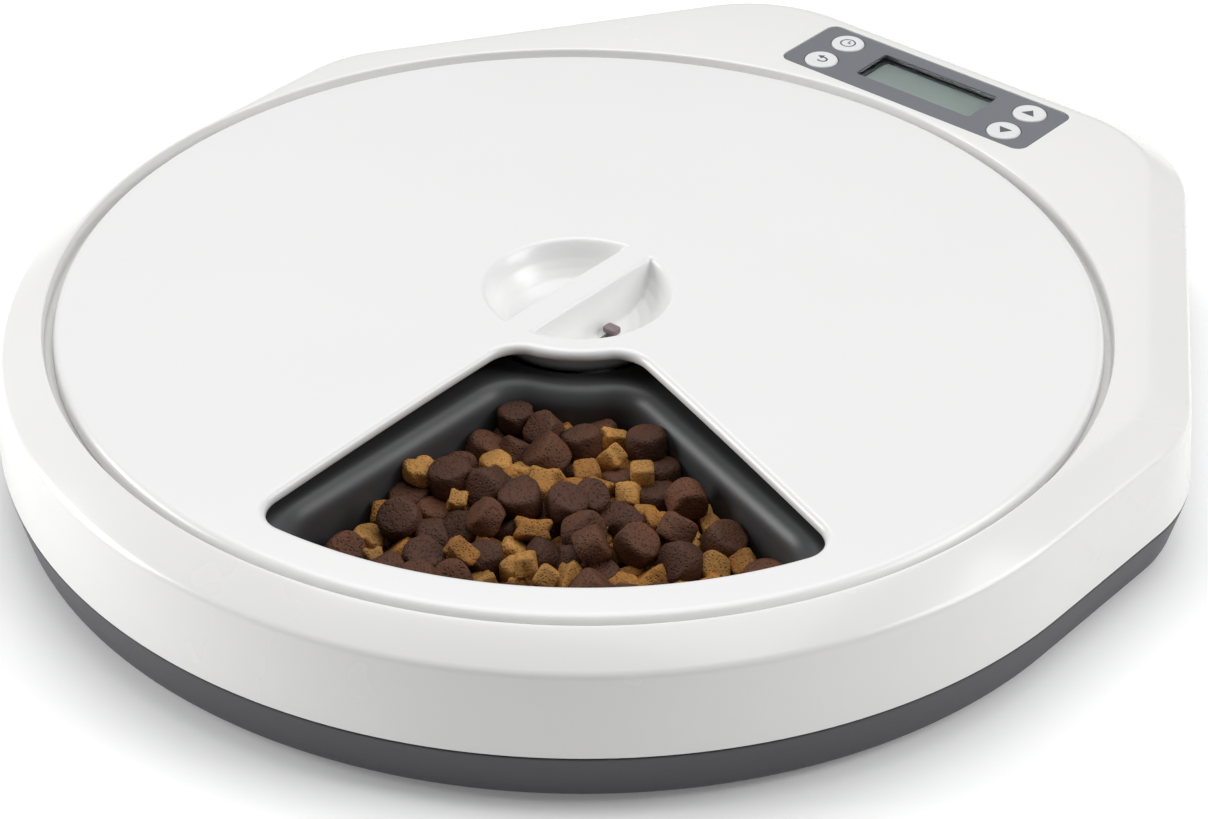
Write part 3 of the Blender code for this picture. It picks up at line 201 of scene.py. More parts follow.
def rounded_rows(corner_rows, radii, steps=5):
    """A run of rows with every inner corner rounded by its own reach, kept within half its sides."""
    rows = [corner_rows[0]]
    for before, corner, after, reach in zip(corner_rows, corner_rows[1:], corner_rows[2:], radii):
        rows += bend(toward(corner, before, reach), corner, toward(corner, after, reach), steps)
    rows.append(corner_rows[-1])
    return np.array(rows)


def skin(rows):
    """Quads between neighbouring points of a grid of closed rows."""
    count, width = rows.shape[:2]
    index = np.arange(count * width).reshape(count, width)
    index = np.hstack([index, index[:, :1]])
    faces = np.stack([index[:-1, :-1], index[:-1, 1:], index[1:, 1:], index[1:, :-1]], axis=-1)
    return faces.reshape(-1, 4)


def finish_piece(name, shape, material, body, stands_for=(), sharp=40.0):
    """Merges a bmesh's doubles, turns its faces outwards, and sets it on its body as a named piece."""
    bmesh.ops.remove_doubles(shape, verts=shape.verts, dist=2e-6)
    bmesh.ops.dissolve_degenerate(shape, edges=shape.edges, dist=1e-7)
    bmesh.ops.recalc_face_normals(shape, faces=shape.faces)
    mesh = bpy.data.meshes.new(name)
    shape.to_mesh(mesh)
    shape.free()
    mesh.materials.append(material)
    mesh.shade_smooth()
    mesh.set_sharp_from_angle(angle=math.radians(sharp))
    piece = bpy.data.objects.new(name, mesh)
    scene.collection.objects.link(piece)
    if body:
        settle(piece, body, stands_for)
    return piece


def settle(piece, body, stands_for=()):
    """Lets a finished piece ride on its body and stand for its nodes."""
    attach(piece, body)
    if stands_for:
        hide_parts(*stands_for)


def add_faces(shape, points, faces):
    """Adds points, and the faces between them, to a bmesh."""
    mesh = bpy.data.meshes.new("faces")
    mesh.from_pydata(points.tolist(), [], faces.tolist())
    shape.from_mesh(mesh)
    bpy.data.meshes.remove(mesh)


def add_grid(shape, rows):
    """Adds a grid of closed rows to a bmesh as quads."""
    add_faces(shape, rows.reshape(-1, 3), skin(rows))


def absorb(shape, part):
    """Moves one bmesh into another."""
    mesh = bpy.data.meshes.new("part")
    part.to_mesh(mesh)
    part.free()
    shape.from_mesh(mesh)
    bpy.data.meshes.remove(mesh)


def capped(rows):
    """A tube of rows with a flat face over its first row and over its last."""
    shape = bmesh.new()
    add_grid(shape, rows)
    shape.verts.ensure_lookup_table()
    width = rows.shape[1]
    last = (rows.shape[0] - 1) * width
    shape.faces.new([shape.verts[k] for k in range(width)])
    shape.faces.new([shape.verts[last + k] for k in range(width)])
    return shape


def circle_plan(radius, count=96, at=(0.0, 0.0)):
    """Points evenly round a circle in plan."""
    angle = np.arange(count) * math.tau / count
    return np.column_stack([at[0] + radius * np.cos(angle), at[1] + radius * np.sin(angle)])


def rectangle_plan(width, depth, at=(0.0, 0.0), radius=0.0, steps=8):
    """A rectangle with round corners: four quarter circles, each about its own corner's centre."""
    quarter = np.linspace(0.0, math.pi / 2, steps)
    signs = ((1, 1), (-1, 1), (-1, -1), (1, -1))
    runs = []
    for turn, (sx, sy) in enumerate(signs):
        angle = quarter + turn * math.pi / 2
        centre = (at[0] + sx * (width / 2 - radius), at[1] + sy * (depth / 2 - radius))
        reach = max(radius, 1e-6)
        runs.append(np.column_stack([centre[0] + reach * np.cos(angle), centre[1] + reach * np.sin(angle)]))
    return np.vstack(runs)


def placed_row(plan, z):
    """A closed row of points at one height, already in the frame's own place."""
    return np.column_stack([plan, np.full(len(plan), z)])


def turned_rows(profile, at, count):
    """Circles about an upright axis, one for each radius and height of a profile."""
    return np.array([placed_row(circle_plan(radius, count, at), z) for radius, z in profile])


def carve(piece, shapes, operation="DIFFERENCE", sharp=35.0):
    """Cuts shapes from a piece, or joins them to it, with exact Booleans that are applied at once."""
    tools = []
    for shape in shapes:
        tool = finish_piece(piece.name + "_tool", shape, piece.data.materials[0], None)
        change = piece.modifiers.new("carve", "BOOLEAN")
        change.operation = operation
        change.object = tool
        tools.append(tool)
    bpy.context.view_layer.update()
    depsgraph = bpy.context.evaluated_depsgraph_get()
    mesh = bpy.data.meshes.new_from_object(piece.evaluated_get(depsgraph))
    mesh.shade_smooth()
    mesh.set_sharp_from_angle(angle=math.radians(sharp))
    piece.modifiers.clear()
    piece.data = mesh
    for tool in tools:
        bpy.data.objects.remove(tool)


def prism(plan, low, high):
    """An upright prism over a plan given in the frame's own place."""
    return capped(np.array([placed_row(plan, low), placed_row(plan, high)]))


def add_node(material, kind, inputs, output, **traits):
    """Adds a shader node to a material, sets its traits, wires its sockets, and gives an output."""
    node = material.node_tree.nodes.new("ShaderNode" + kind)
    for trait, value in traits.items():
        setattr(node, trait, value)
    wire(node, inputs)
    return node.outputs[output]


def noise(material, where, scale, detail=2.0, roughness=0.5):
    """The value of a noise texture."""
    inputs = {"Vector": where, "Scale": scale, "Detail": detail, "Roughness": roughness}
    return add_node(material, "TexNoise", inputs, "Fac")


def mapped(material, value, low, high, start=0.0, end=1.0):
    """A value stretched from start and end to low and high."""
    inputs = {"Value": value, "From Min": start, "From Max": end, "To Min": low, "To Max": high}
    return add_node(material, "MapRange", inputs, "Result")


def mixed(material, share, first, second):
    """A colour between two others."""
    inputs = {"Factor": share, "A": (*first, 1.0), "B": (*second, 1.0)}
    return add_node(material, "Mix", inputs, "Result", data_type="RGBA")


def scaled(material, colour, factor):
    """A colour times a factor."""
    return add_node(material, "VectorMath", {0: colour, "Scale": factor}, "Vector", operation="SCALE")


def bumped(material, height, strength, distance):
    """A surface normal tilted by a height."""
    inputs = {"Height": height, "Strength": strength, "Distance": distance}
    return add_node(material, "Bump", inputs, "Normal")


def moulded_plastic(name, colour, roughness, grain=0.00025, relief=0.04, drift=0.03, coat=0.0, specular=0.5):
    """Moulded plastic: a fine even grain, slow drift in colour and gloss from the flow of the melt."""
    material, shader, where = new_material(name)
    slow = noise(material, where, 22.0, 3.0)
    fine = noise(material, where, 1.0 / (grain * 4.0))
    wire(shader, {"IOR": 1.5, "Coat Weight": coat, "Coat Roughness": 0.12, "Specular IOR Level": specular})
    wire(shader, {"Base Color": scaled(material, colour, mapped(material, slow, 1.0 - drift, 1.0 + drift))})
    wire(shader, {"Roughness": mapped(material, slow, roughness - 0.05, roughness + 0.05)})
    wire(shader, {"Normal": bumped(material, fine, relief, 0.0002)})
    return material


def box_middle(low, high):
    """The middle of a box in plan."""
    return ((low.x + high.x) / 2, (low.y + high.y) / 2)


base_grey = moulded_plastic("base_grey", (0.062, 0.061, 0.068), 0.5, 0.0004, 0.22, 0.05)
door_low, door_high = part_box("battery_door")
contact_low, contact_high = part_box("battery_plus")
DOOR_GAP = 0.4 * MM
BAY_WALL = 1.8 * MM
bay_at = (0.0, (door_low.y + door_high.y) / 2)
bay_width = door_high.x - door_low.x + 2 * DOOR_GAP
bay_depth = door_high.y - door_low.y + 2 * DOOR_GAP
bay_top = contact_high.z + 0.3 * MM
screw_names = ["case_screw_%d" % k for k in range(1, 7)]
screw_boxes = [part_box(name) for name in screw_names]
screw_places = [box_middle(low, high) for low, high in screw_boxes]

base_rows = rounded_rows(
    [
        level_row(outline(BASE_FOOT - 8.0 * MM), BASE_LOW),
        level_row(outline(BASE_FOOT), BASE_LOW),
        level_row(outline(WALL_DRAFT), PARTING),
        level_row(outline(WALL_DRAFT - SHELL), PARTING),
        level_row(outline(BASE_FOOT - SHELL), BASE_FLOOR),
        level_row(outline(BASE_FOOT - SHELL - 8.0 * MM), BASE_FLOOR),
    ],
    (2.2 * MM, 0.7 * MM, 0.3 * MM, 1.0 * MM),
)
base = finish_piece("base_pan", capped(base_rows), base_grey, None)
bay_plan = rectangle_plan(bay_width + 2 * BAY_WALL, bay_depth + 2 * BAY_WALL, bay_at)
carve(base, [prism(bay_plan, 4.1 * MM, bay_top + BAY_WALL)], "UNION")
screw_wells = [prism(circle_plan(3.5 * MM, 40, at), 0.0, 3.5 * MM) for at in screw_places]
screw_holes = [prism(circle_plan(1.75 * MM, 24, at), 1.0 * MM, 6.0 * MM) for at in screw_places]
bay_hollow = prism(rectangle_plan(bay_width, bay_depth, bay_at, 1.0 * MM), 0.0, bay_top)
carve(base, [bay_hollow, *screw_wells, *screw_holes])
settle(base, "housing", ["base_shell"])


# ---- casing --------------------------------------------------------------------------------------
# The white upper casing, one moulding of gloss ABS: a drafted wall, a broad chamfer, a flat console
# at the back, and a round well for the tray. Six screws from below hold it down on the base.
CASING_LOW = 16.9 * MM
BREAK_Z = 40.3 * MM
CASING_Z = 46.7 * MM
CHAMFER = 11.2 * MM
LIP_RADIUS = 145.7 * MM
LEDGE_RADIUS = 139.8 * MM
LEDGE_Z = 41.6 * MM
WELL_RADIUS = 139.3 * MM
WELL_Z = 13.0 * MM
TURRET_RADIUS = 33.9 * MM
TURRET_Z = 27.0 * MM
SPINDLE_HOLE = 6.3 * MM
casing_white = moulded_plastic("casing_white", (0.80, 0.795, 0.78), 0.26, 0.0005, 0.05, 0.006, 0.25)


def ring_row(radius, z):
    """A circle about the tray's axis, with its points at the same bearings as the plan's points."""
    plan = outline(0.0)
    bearing = np.arctan2(plan[:, 1], plan[:, 0])
    return level_row(radius * np.column_stack([np.cos(bearing), np.sin(bearing)]), z)


casing_rows = rounded_rows(
    [
        level_row(outline(WALL_DRAFT - 1.3 * MM), CASING_LOW),
        level_row(outline(WALL_DRAFT), CASING_LOW),
        level_row(outline(0.0), BREAK_Z),
        level_row(outline(-CHAMFER), CASING_Z),
        ring_row(LIP_RADIUS, CASING_Z),
        ring_row(LIP_RADIUS - 0.4 * MM, LEDGE_Z),
        ring_row(LEDGE_RADIUS, LEDGE_Z),
        ring_row(WELL_RADIUS, WELL_Z),
        ring_row(TURRET_RADIUS, WELL_Z),
        ring_row(TURRET_RADIUS - 0.5 * MM, TURRET_Z),
        ring_row(SPINDLE_HOLE, TURRET_Z),
        ring_row(SPINDLE_HOLE, TURRET_Z - SHELL),
        ring_row(TURRET_RADIUS - 2.9 * MM, TURRET_Z - SHELL),
        ring_row(TURRET_RADIUS - SHELL, WELL_Z - SHELL),
        ring_row(WELL_RADIUS + SHELL, WELL_Z - SHELL),
        ring_row(LEDGE_RADIUS + SHELL, LEDGE_Z - SHELL),
        ring_row(LIP_RADIUS + SHELL, LEDGE_Z - SHELL),
        ring_row(LIP_RADIUS + SHELL, CASING_Z - SHELL),
        level_row(outline(-CHAMFER - 1.0 * MM), CASING_Z - SHELL),
        level_row(outline(-SHELL), BREAK_Z - 1.0 * MM),
        level_row(outline(WALL_DRAFT - SHELL), CASING_LOW),
        level_row(outline(WALL_DRAFT - 1.3 * MM), CASING_LOW),
    ],
    np.array([0.35, 1.6, 1.6, 0.9, 0.8, 0.5, 2.0, 2.0, 1.5, 1.0, 0.3, 0.3] + [0.6] * 8) * MM,
)
casing_shape = bmesh.new()
add_grid(casing_shape, casing_rows)
casing = finish_piece("casing", casing_shape, casing_white, None)

overlay_low, overlay_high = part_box("control_overlay")
lens_low, lens_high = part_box("display_window")
button_names = ("button_set", "button_return", "button_up", "button_down")
button_boxes = {name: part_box(name) for name in button_names}
button_places = {name: box_middle(low, high) for name, (low, high) in button_boxes.items()}
PANEL_CORNER = 3.4 * MM
PANEL_GAP = 0.3 * MM
PANEL_SEAT = 45.7 * MM
panel_at = (0.0, (overlay_low.y + overlay_high.y) / 2)
panel_width = overlay_high.x - overlay_low.x
panel_depth = overlay_high.y - overlay_low.y
window_at = (0.0, (lens_low.y + lens_high.y) / 2)
window_width = lens_high.x - lens_low.x
window_depth = lens_high.y - lens_low.y
recess_plan = rectangle_plan(
    panel_width + 2 * PANEL_GAP, panel_depth + 2 * PANEL_GAP, panel_at, PANEL_CORNER + PANEL_GAP
)
CUT_TOP = 50.0 * MM
through_plan = rectangle_plan(window_width - 1.6 * MM, window_depth - 1.6 * MM, window_at, 0.6 * MM)
lens_plan = rectangle_plan(window_width + 0.4 * MM, window_depth + 0.4 * MM, window_at, 0.8 * MM)
console_cuts = [
    prism(recess_plan, PANEL_SEAT, CUT_TOP),
    prism(through_plan, 40.0 * MM, CUT_TOP),
    prism(lens_plan, 44.4 * MM, CUT_TOP),
]
for name in button_names:
    console_cuts.append(prism(circle_plan(5.45 * MM, 48, button_places[name]), 40.0 * MM, CUT_TOP))
carve(casing, console_cuts)
settle(casing, "housing", ["top_shell"])


# ---- food tray -----------------------------------------------------------------------------------
# The charcoal meal tray, one moulding of satin plastic: five wedge pockets with rolled lips and
# round floors, a skirt at the rim, and a sunk hub with a hexagon that drops over the spindle.
SECTORS = 5
HALF_SECTOR = math.pi / SECTORS
FIRST_MEAL = math.radians(90.0 - 144.5)
TRAY_RADIUS = (tray_high.x - tray_low.x) / 2
TRAY_TOP = tray_high.z
POCKET_MARGIN = 7.5 * MM
POCKET_INNER = 38.5 * MM
POCKET_OUTER = 127.5 * MM
POCKET_CORNER_INNER = 9.0 * MM
POCKET_CORNER_OUTER = 13.0 * MM
POCKET_FLOOR = 17.0 * MM
FLOOR_ROUND = 5.0 * MM
LIP_ROUND = 6.0 * MM
POCKET_DRAFT = 0.4 * MM
HUB_RADIUS = 28.5 * MM
HUB_Z = 31.5 * MM
HEX_FLAT = 6.2 * MM


def wedge_anchors(margin, inner, outer, corner_inner, corner_outer, fine=1):
    """Centre, normal and radius along a wedge's edge: four corner arcs, an outer and an inner arc
    about the tray's axis, and two straight sides whose centres slide from corner to corner."""
    away = margin + corner_outer
    near = margin + corner_inner
    far = math.sqrt((outer - corner_outer) ** 2 - away**2)
    close = math.sqrt((inner + corner_inner) ** 2 - near**2)
    outer_turn = HALF_SECTOR - math.atan2(away, far)
    inner_turn = HALF_SECTOR - math.atan2(near, close)
    out = (outer - corner_outer) * np.array([math.cos(outer_turn), math.sin(outer_turn)])
    into = (inner + corner_inner) * np.array([math.cos(inner_turn), math.sin(inner_turn)])
    side = HALF_SECTOR + math.pi / 2
    zero = np.zeros(2)
    stretches = [
        (zero, zero, outer, outer, 0.0, outer_turn, 22 * fine),
        (out, out, corner_outer, corner_outer, outer_turn, side, 12 * fine),
        (out, into, corner_outer, corner_inner, side, side, 26 * fine),
        (into, into, corner_inner, corner_inner, side, inner_turn + math.pi, 10 * fine),
        (zero, zero, -inner, -inner, inner_turn + math.pi, math.pi, 7 * fine),
    ]
    half = []
    for c0, c1, r0, r1, a0, a1, count in stretches:
        t = np.arange(count)[:, None] / count
        half.append(np.hstack([c0 + (c1 - c0) * t, a0 + (a1 - a0) * t, r0 + (r1 - r0) * t]))
    half = np.vstack(half)
    last = np.array([[0.0, 0.0, math.pi, -inner]])
    other = half[:0:-1] * [1.0, -1.0, -1.0, 1.0] + [0.0, 0.0, math.tau, 0.0]
    return np.vstack([half, last, other])


def wedge_plan(anchors, inset, turn):
    """The wedge's edge moved in evenly: centre plus (radius - inset) along the normal, then turned."""
    cx, cy, angle, radius = anchors.T
    x = cx + (radius - inset) * np.cos(angle)
    y = cy + (radius - inset) * np.sin(angle)
    sin, cos = math.sin(turn), math.cos(turn)
    return np.column_stack([x * cos - y * sin, x * sin + y * cos])


def inside_loop(points, loop):
    """Which points a closed loop holds: an odd number of its edges pass to their right."""
    x, y = points[:, :1], points[:, 1:]
    ax, ay = loop.T
    bx, by = np.roll(loop, -1, axis=0).T
    spans = (ay > y) != (by > y)
    across = ax + (y - ay) * (bx - ax) / np.where(by == ay, 1.0, by - ay)
    return (spans & (x < across)).sum(axis=1) % 2 == 1


def sheet_between(outer, holes, extra):
    """Plan points and triangles of a sheet between an outer loop and its holes, by Delaunay."""
    from mathutils.geometry import delaunay_2d_cdt

    loops = [outer, *holes]
    edges = []
    first = 0
    for loop in loops:
        index = first + np.arange(len(loop))
        edges += np.column_stack([index, np.roll(index, -1)]).tolist()
        first += len(loop)
    points = np.vstack([*loops, extra]) * 1000.0
    found, _, faces, _, _, _ = delaunay_2d_cdt([Vector(p) for p in points.tolist()], edges, [], 0, 1e-5)
    plan = np.array([tuple(p) for p in found]) / 1000.0
    faces = np.array(faces)
    middle = plan[faces].mean(axis=1)
    keep = inside_loop(middle, outer)
    for hole in holes:
        keep &= ~inside_loop(middle, hole)
    return plan, faces[keep]


def add_sheet(shape, plan, faces, z, flip=False):
    """Adds a triangulated sheet to a bmesh at the given heights, about the tray's axis."""
    points = np.column_stack([plan[:, 0], plan[:, 1] + AXIS_Y, z])
    add_faces(shape, points, faces[:, ::-1] if flip else faces)


pocket = wedge_anchors(POCKET_MARGIN, POCKET_INNER, POCKET_OUTER, POCKET_CORNER_INNER, POCKET_CORNER_OUTER)
meal_turns = [FIRST_MEAL + math.tau * k / SECTORS for k in range(SECTORS)]
lip_turns = np.linspace(math.pi / 2, 0.0, 9)
floor_turns = np.linspace(0.0, math.pi / 2, 8)
pocket_steps = [
    (LIP_ROUND * (math.cos(a) - 1), TRAY_TOP - LIP_ROUND * (1 - math.sin(a))) for a in lip_turns
]
for share in (0.2, 0.4, 0.6, 0.8):
    drop = TRAY_TOP - LIP_ROUND - share * (TRAY_TOP - LIP_ROUND - POCKET_FLOOR - FLOOR_ROUND)
    pocket_steps.append((share * POCKET_DRAFT, drop))
pocket_steps += [
    (POCKET_DRAFT + FLOOR_ROUND * (1 - math.cos(a)), POCKET_FLOOR + FLOOR_ROUND * (1 - math.sin(a)))
    for a in floor_turns
]
RIM_BEVEL = 1.2 * MM
hub_lip = HUB_RADIUS + 0.9 * MM
tray_shape = bmesh.new()
tray_plan, tray_faces = sheet_between(
    circle_plan(TRAY_RADIUS - RIM_BEVEL, 320),
    [wedge_plan(pocket, -LIP_ROUND, turn) for turn in meal_turns] + [circle_plan(hub_lip, 120)],
    np.zeros((0, 2)),
)
add_sheet(tray_shape, tray_plan, tray_faces, np.full(len(tray_plan), TRAY_TOP))
for turn in meal_turns:
    rows = np.array([level_row(wedge_plan(pocket, inset, turn), z) for inset, z in pocket_steps])
    add_grid(tray_shape, rows)
    floor_plan, floor_faces = sheet_between(
        wedge_plan(pocket, pocket_steps[-1][0], turn), [], np.zeros((0, 2))
    )
    add_sheet(tray_shape, floor_plan, floor_faces, np.full(len(floor_plan), POCKET_FLOOR))
rim_turns = np.linspace(0.0, math.pi / 2, 6)
rim_rows = [
    level_row(
        circle_plan(TRAY_RADIUS - RIM_BEVEL * (1 - math.sin(a)), 320),
        TRAY_TOP - RIM_BEVEL * (1 - math.cos(a)),
    )
    for a in rim_turns
]
rim_rows.append(level_row(circle_plan(TRAY_RADIUS, 320), 36.0 * MM))
add_grid(tray_shape, np.array(rim_rows))
hub_bearing = np.arange(120) * math.tau / 120
to_flat = (hub_bearing % (math.pi / 3)) - math.pi / 6
hexagon = (HEX_FLAT / np.cos(to_flat))[:, None] * circle_plan(1.0, 120)
hub_rows = rounded_rows(
    [
        level_row(circle_plan(hub_lip, 120), TRAY_TOP),
        level_row(circle_plan(hub_lip - 0.9 * MM, 120), TRAY_TOP - 0.1 * MM),
        level_row(circle_plan(HUB_RADIUS - 1.2 * MM, 120), HUB_Z),
        level_row(circle_plan(9.0 * MM, 120), HUB_Z),
        level_row(hexagon, HUB_Z),
    ],
    (0.8 * MM, 2.0 * MM, 1.0 * MM),
)
add_grid(tray_shape, hub_rows)
tray_charcoal = moulded_plastic("tray_charcoal", (0.052, 0.053, 0.055), 0.42, 0.0005, 0.12, 0.05)
tray = finish_piece("meal_tray", tray_shape, tray_charcoal, None, sharp=50.0)
tray_wall = tray.modifiers.new("wall", "SOLIDIFY")
tray_wall.thickness = 1.9 * MM
tray_wall.offset = -1.0
settle(tray, "tray", ["tray"])


# ---- lid -----------------------------------------------------------------------------------------
# The white lid, a shallow moulded dome with a round edge. One wedge opening with a rolled edge bares
# the meal that is served, and a round finger bowl in the middle is crossed by a grip ridge.
LID_RADIUS = 143.0 * MM
DOME_EDGE = 46.3 * MM
DOME_RISE = 4.4 * MM
EDGE_ROUND = 2.8 * MM
LID_REST = 41.9 * MM
LID_SKIN = 2.2 * MM
OPENING_MARGIN = 3.6 * MM
OPENING_INNER = 32.5 * MM
OPENING_OUTER = 130.0 * MM
OPENING_CORNER_INNER = 10.0 * MM
OPENING_CORNER_OUTER = 8.6 * MM
OPENING_ROLL = 1.9 * MM
OPENING_DEPTH = 3.0 * MM
BOWL_RADIUS = 27.6 * MM
lid_white = moulded_plastic("lid_white", (0.815, 0.815, 0.81), 0.3, 0.0005, 0.05, 0.006, 0.2)


def dome(radius):
    """Height of the lid's top: the edge's height plus the rise times 1 - (r / R)^2."""
    return DOME_EDGE + DOME_RISE * (1 - (radius / LID_RADIUS) ** 2)


def soft_max(a, b, reach):
    """The larger of two heights, with the valley between them filleted over a reach."""
    near = np.maximum(reach - np.abs(a - b), 0.0) / reach
    return np.maximum(a, b) + near**2 * reach / 4


def soft_min(a, b, reach):
    """The smaller of two heights, with the ridge between them rounded over a reach."""
    return -soft_max(-a, -b, reach)


def finger_bowl(x, y):
    """Height of the middle of the lid: a turned bowl, filled by a ridge along Y, cut by the dome."""
    radius = np.hypot(x, y)
    turned_r = np.array([0.0, 13.5, 16.5, 19.5, 21.6, 23.3, 24.3, 25.1, 27.5]) * MM
    turned_z = np.array([39.3, 39.5, 40.2, 41.7, 43.6, 45.9, 47.9, 49.6, 55.5]) * MM
    bowl = np.interp(radius, turned_r, turned_z)
    ridge = 49.9 * MM - (np.abs(x) - 4.7 * MM) * (11.6 / 3.5)
    ridge = soft_min(ridge, np.full_like(ridge, 56.0 * MM), 1.0 * MM)
    hollow = soft_max(bowl, ridge, 2.4 * MM)
    return soft_min(hollow, dome(radius), 2.6 * MM - 1.2 * x / BOWL_RADIUS * MM)


opening = wedge_anchors(
    OPENING_MARGIN, OPENING_INNER, OPENING_OUTER, OPENING_CORNER_INNER, OPENING_CORNER_OUTER, 2
)
roll_turns = np.linspace(0.0, math.pi / 2, 9)
roll_insets = -OPENING_ROLL * (1 - np.sin(roll_turns))
sheet_loop = wedge_plan(opening, -OPENING_ROLL - 0.2 * MM, FIRST_MEAL)
edge_start = LID_RADIUS - EDGE_ROUND
bearings = 400
dome_points = []
for ring in np.arange(BOWL_RADIUS + 3.0 * MM, edge_start - 2.0 * MM, 3.2 * MM):
    count = int(40 + ring / MM * 1.4)
    dome_points.append(circle_plan(ring, count))
dome_points = np.vstack(dome_points)
clear = ~inside_loop(dome_points, wedge_plan(opening, -OPENING_ROLL - 2.0 * MM, FIRST_MEAL))
dome_plan, dome_faces = sheet_between(
    circle_plan(edge_start, bearings), [sheet_loop, circle_plan(BOWL_RADIUS, 320)], dome_points[clear]
)
dome_radius = np.hypot(dome_plan[:, 0], dome_plan[:, 1])
lid_shape = bmesh.new()
add_sheet(lid_shape, dome_plan, dome_faces, dome(dome_radius))
add_sheet(lid_shape, dome_plan, dome_faces, dome(dome_radius) - LID_SKIN, flip=True)


def follow_dome(plan, drop):
    """A row of points on a plan, each a drop below the dome, moved to the frame's origin."""
    radius = np.hypot(plan[:, 0], plan[:, 1])
    return np.column_stack([plan[:, 0], plan[:, 1] + AXIS_Y, dome(radius) - drop])


roll_rows = [follow_dome(sheet_loop, 0.0)]
roll_steps = list(zip(roll_insets, OPENING_ROLL * (1 - np.cos(roll_turns))))
roll_steps += [(0.0, OPENING_DEPTH - 0.4 * MM), (-0.4 * MM, OPENING_DEPTH), (-1.2 * MM, OPENING_DEPTH)]
for inset, drop in roll_steps:
    roll_rows.append(follow_dome(wedge_plan(opening, inset, FIRST_MEAL), drop))
roll_rows.append(follow_dome(sheet_loop, LID_SKIN))
add_grid(lid_shape, np.array(roll_rows))

edge_turns = np.linspace(0.0, math.pi / 2, 9)
edge_rows = [
    level_row(
        circle_plan(edge_start + EDGE_ROUND * math.sin(a), bearings),
        float(dome(edge_start)) - EDGE_ROUND * (1 - math.cos(a)),
    )
    for a in edge_turns
]
edge_rows.append(level_row(circle_plan(LID_RADIUS, bearings), LID_REST + 0.1 * MM))
edge_rows.append(level_row(circle_plan(LID_RADIUS - 0.2 * MM, bearings), LID_REST))
edge_rows.append(level_row(circle_plan(edge_start + 0.5 * MM, bearings), LID_REST))
edge_rows.append(level_row(circle_plan(edge_start, bearings), float(dome(edge_start)) - LID_SKIN))
add_grid(lid_shape, np.array(edge_rows))

bowl_rings = np.concatenate([np.linspace(0.15, 20.0, 46), np.linspace(20.3, 27.6, 30)]) * MM
bowl_plan = circle_plan(1.0, 320)
bowl_rows = []
for ring in bowl_rings[::-1]:
    plan = ring * bowl_plan
    settled = finger_bowl(plan[:, 0], plan[:, 1])
    blend = np.clip((BOWL_RADIUS - ring) / (1.2 * MM), 0.0, 1.0)
    z = blend * settled + (1 - blend) * dome(np.full(len(plan), ring))
    bowl_rows.append(np.column_stack([plan[:, 0], plan[:, 1] + AXIS_Y, z]))
add_grid(lid_shape, np.array(bowl_rows))
cup_rows = [follow_dome(circle_plan(BOWL_RADIUS, 320), LID_SKIN)]
for radius, z in ((26.2, 42.0), (25.0, 39.6), (20.0, 36.6), (10.0, 36.6), (0.15, 36.6)):
    cup_rows.append(level_row(circle_plan(radius * MM, 320), z * MM))
add_grid(lid_shape, np.array(cup_rows))
bmesh.ops.remove_doubles(lid_shape, verts=lid_shape.verts, dist=2e-6)
bmesh.ops.holes_fill(lid_shape, edges=[e for e in lid_shape.edges if e.is_boundary], sides=0)
lid = finish_piece("lid_cover", lid_shape, lid_white, None, sharp=60.0)

tab_low, tab_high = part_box("lock_tab")
tab_at = box_middle(tab_low, tab_high)
slot_plan = rectangle_plan(3.2 * MM, 9.7 * MM, (11.0 * MM, AXIS_Y - 2.55 * MM), 1.5 * MM)
carve(lid, [prism(slot_plan, 34.0 * MM, 44.0 * MM)], sharp=60.0)
settle(lid, "lid", ["lid"])


# ---- lid lock ------------------------------------------------------------------------------------
# The small grey-red tab in the finger bowl and the fork under it. Pushing the tab slides the fork out
# from under the spindle's head, and the lid comes free.
latch_grey = moulded_plastic("latch_grey", (0.22, 0.165, 0.17), 0.42, 0.0003, 0.1, 0.08)
tab_size = (tab_high.x - tab_low.x, tab_high.y - tab_low.y)
TAB_TOP = tab_high.z
TAB_NECK = 1.1 * MM


def tab_row(shrink, z, dish=0.0):
    """The tab's rectangle drawn in by a margin, with its top hollowed along Y for the fingertip."""
    width, depth = tab_size
    corner = max(0.9 * MM - shrink, 0.2 * MM)
    plan = rectangle_plan(width - 2 * shrink, depth - 2 * shrink, tab_at, corner)
    hollow = dish * np.cos((plan[:, 1] - tab_at[1]) / depth * math.pi)
    return np.column_stack([plan, z - hollow])


tab_rows = [tab_row(TAB_NECK, tab_low.z), tab_row(TAB_NECK, TAB_TOP - 1.9 * MM)]
tab_rows += [tab_row(0.25 * MM, TAB_TOP - 1.8 * MM), tab_row(0.0, TAB_TOP - 1.5 * MM)]
tab_rows += [tab_row(0.0, TAB_TOP - 0.5 * MM), tab_row(0.12 * MM, TAB_TOP - 0.15 * MM)]
tab_rows += [tab_row(0.45 * MM, TAB_TOP, 0.05 * MM), tab_row(1.2 * MM, TAB_TOP, 0.3 * MM)]
tab_shape = capped(np.array(tab_rows))
finish_piece("lock_slide_tab", tab_shape, latch_grey, "lid_lock", ["lock_tab"])
nodes["lock_fork"].data.materials[0] = latch_grey


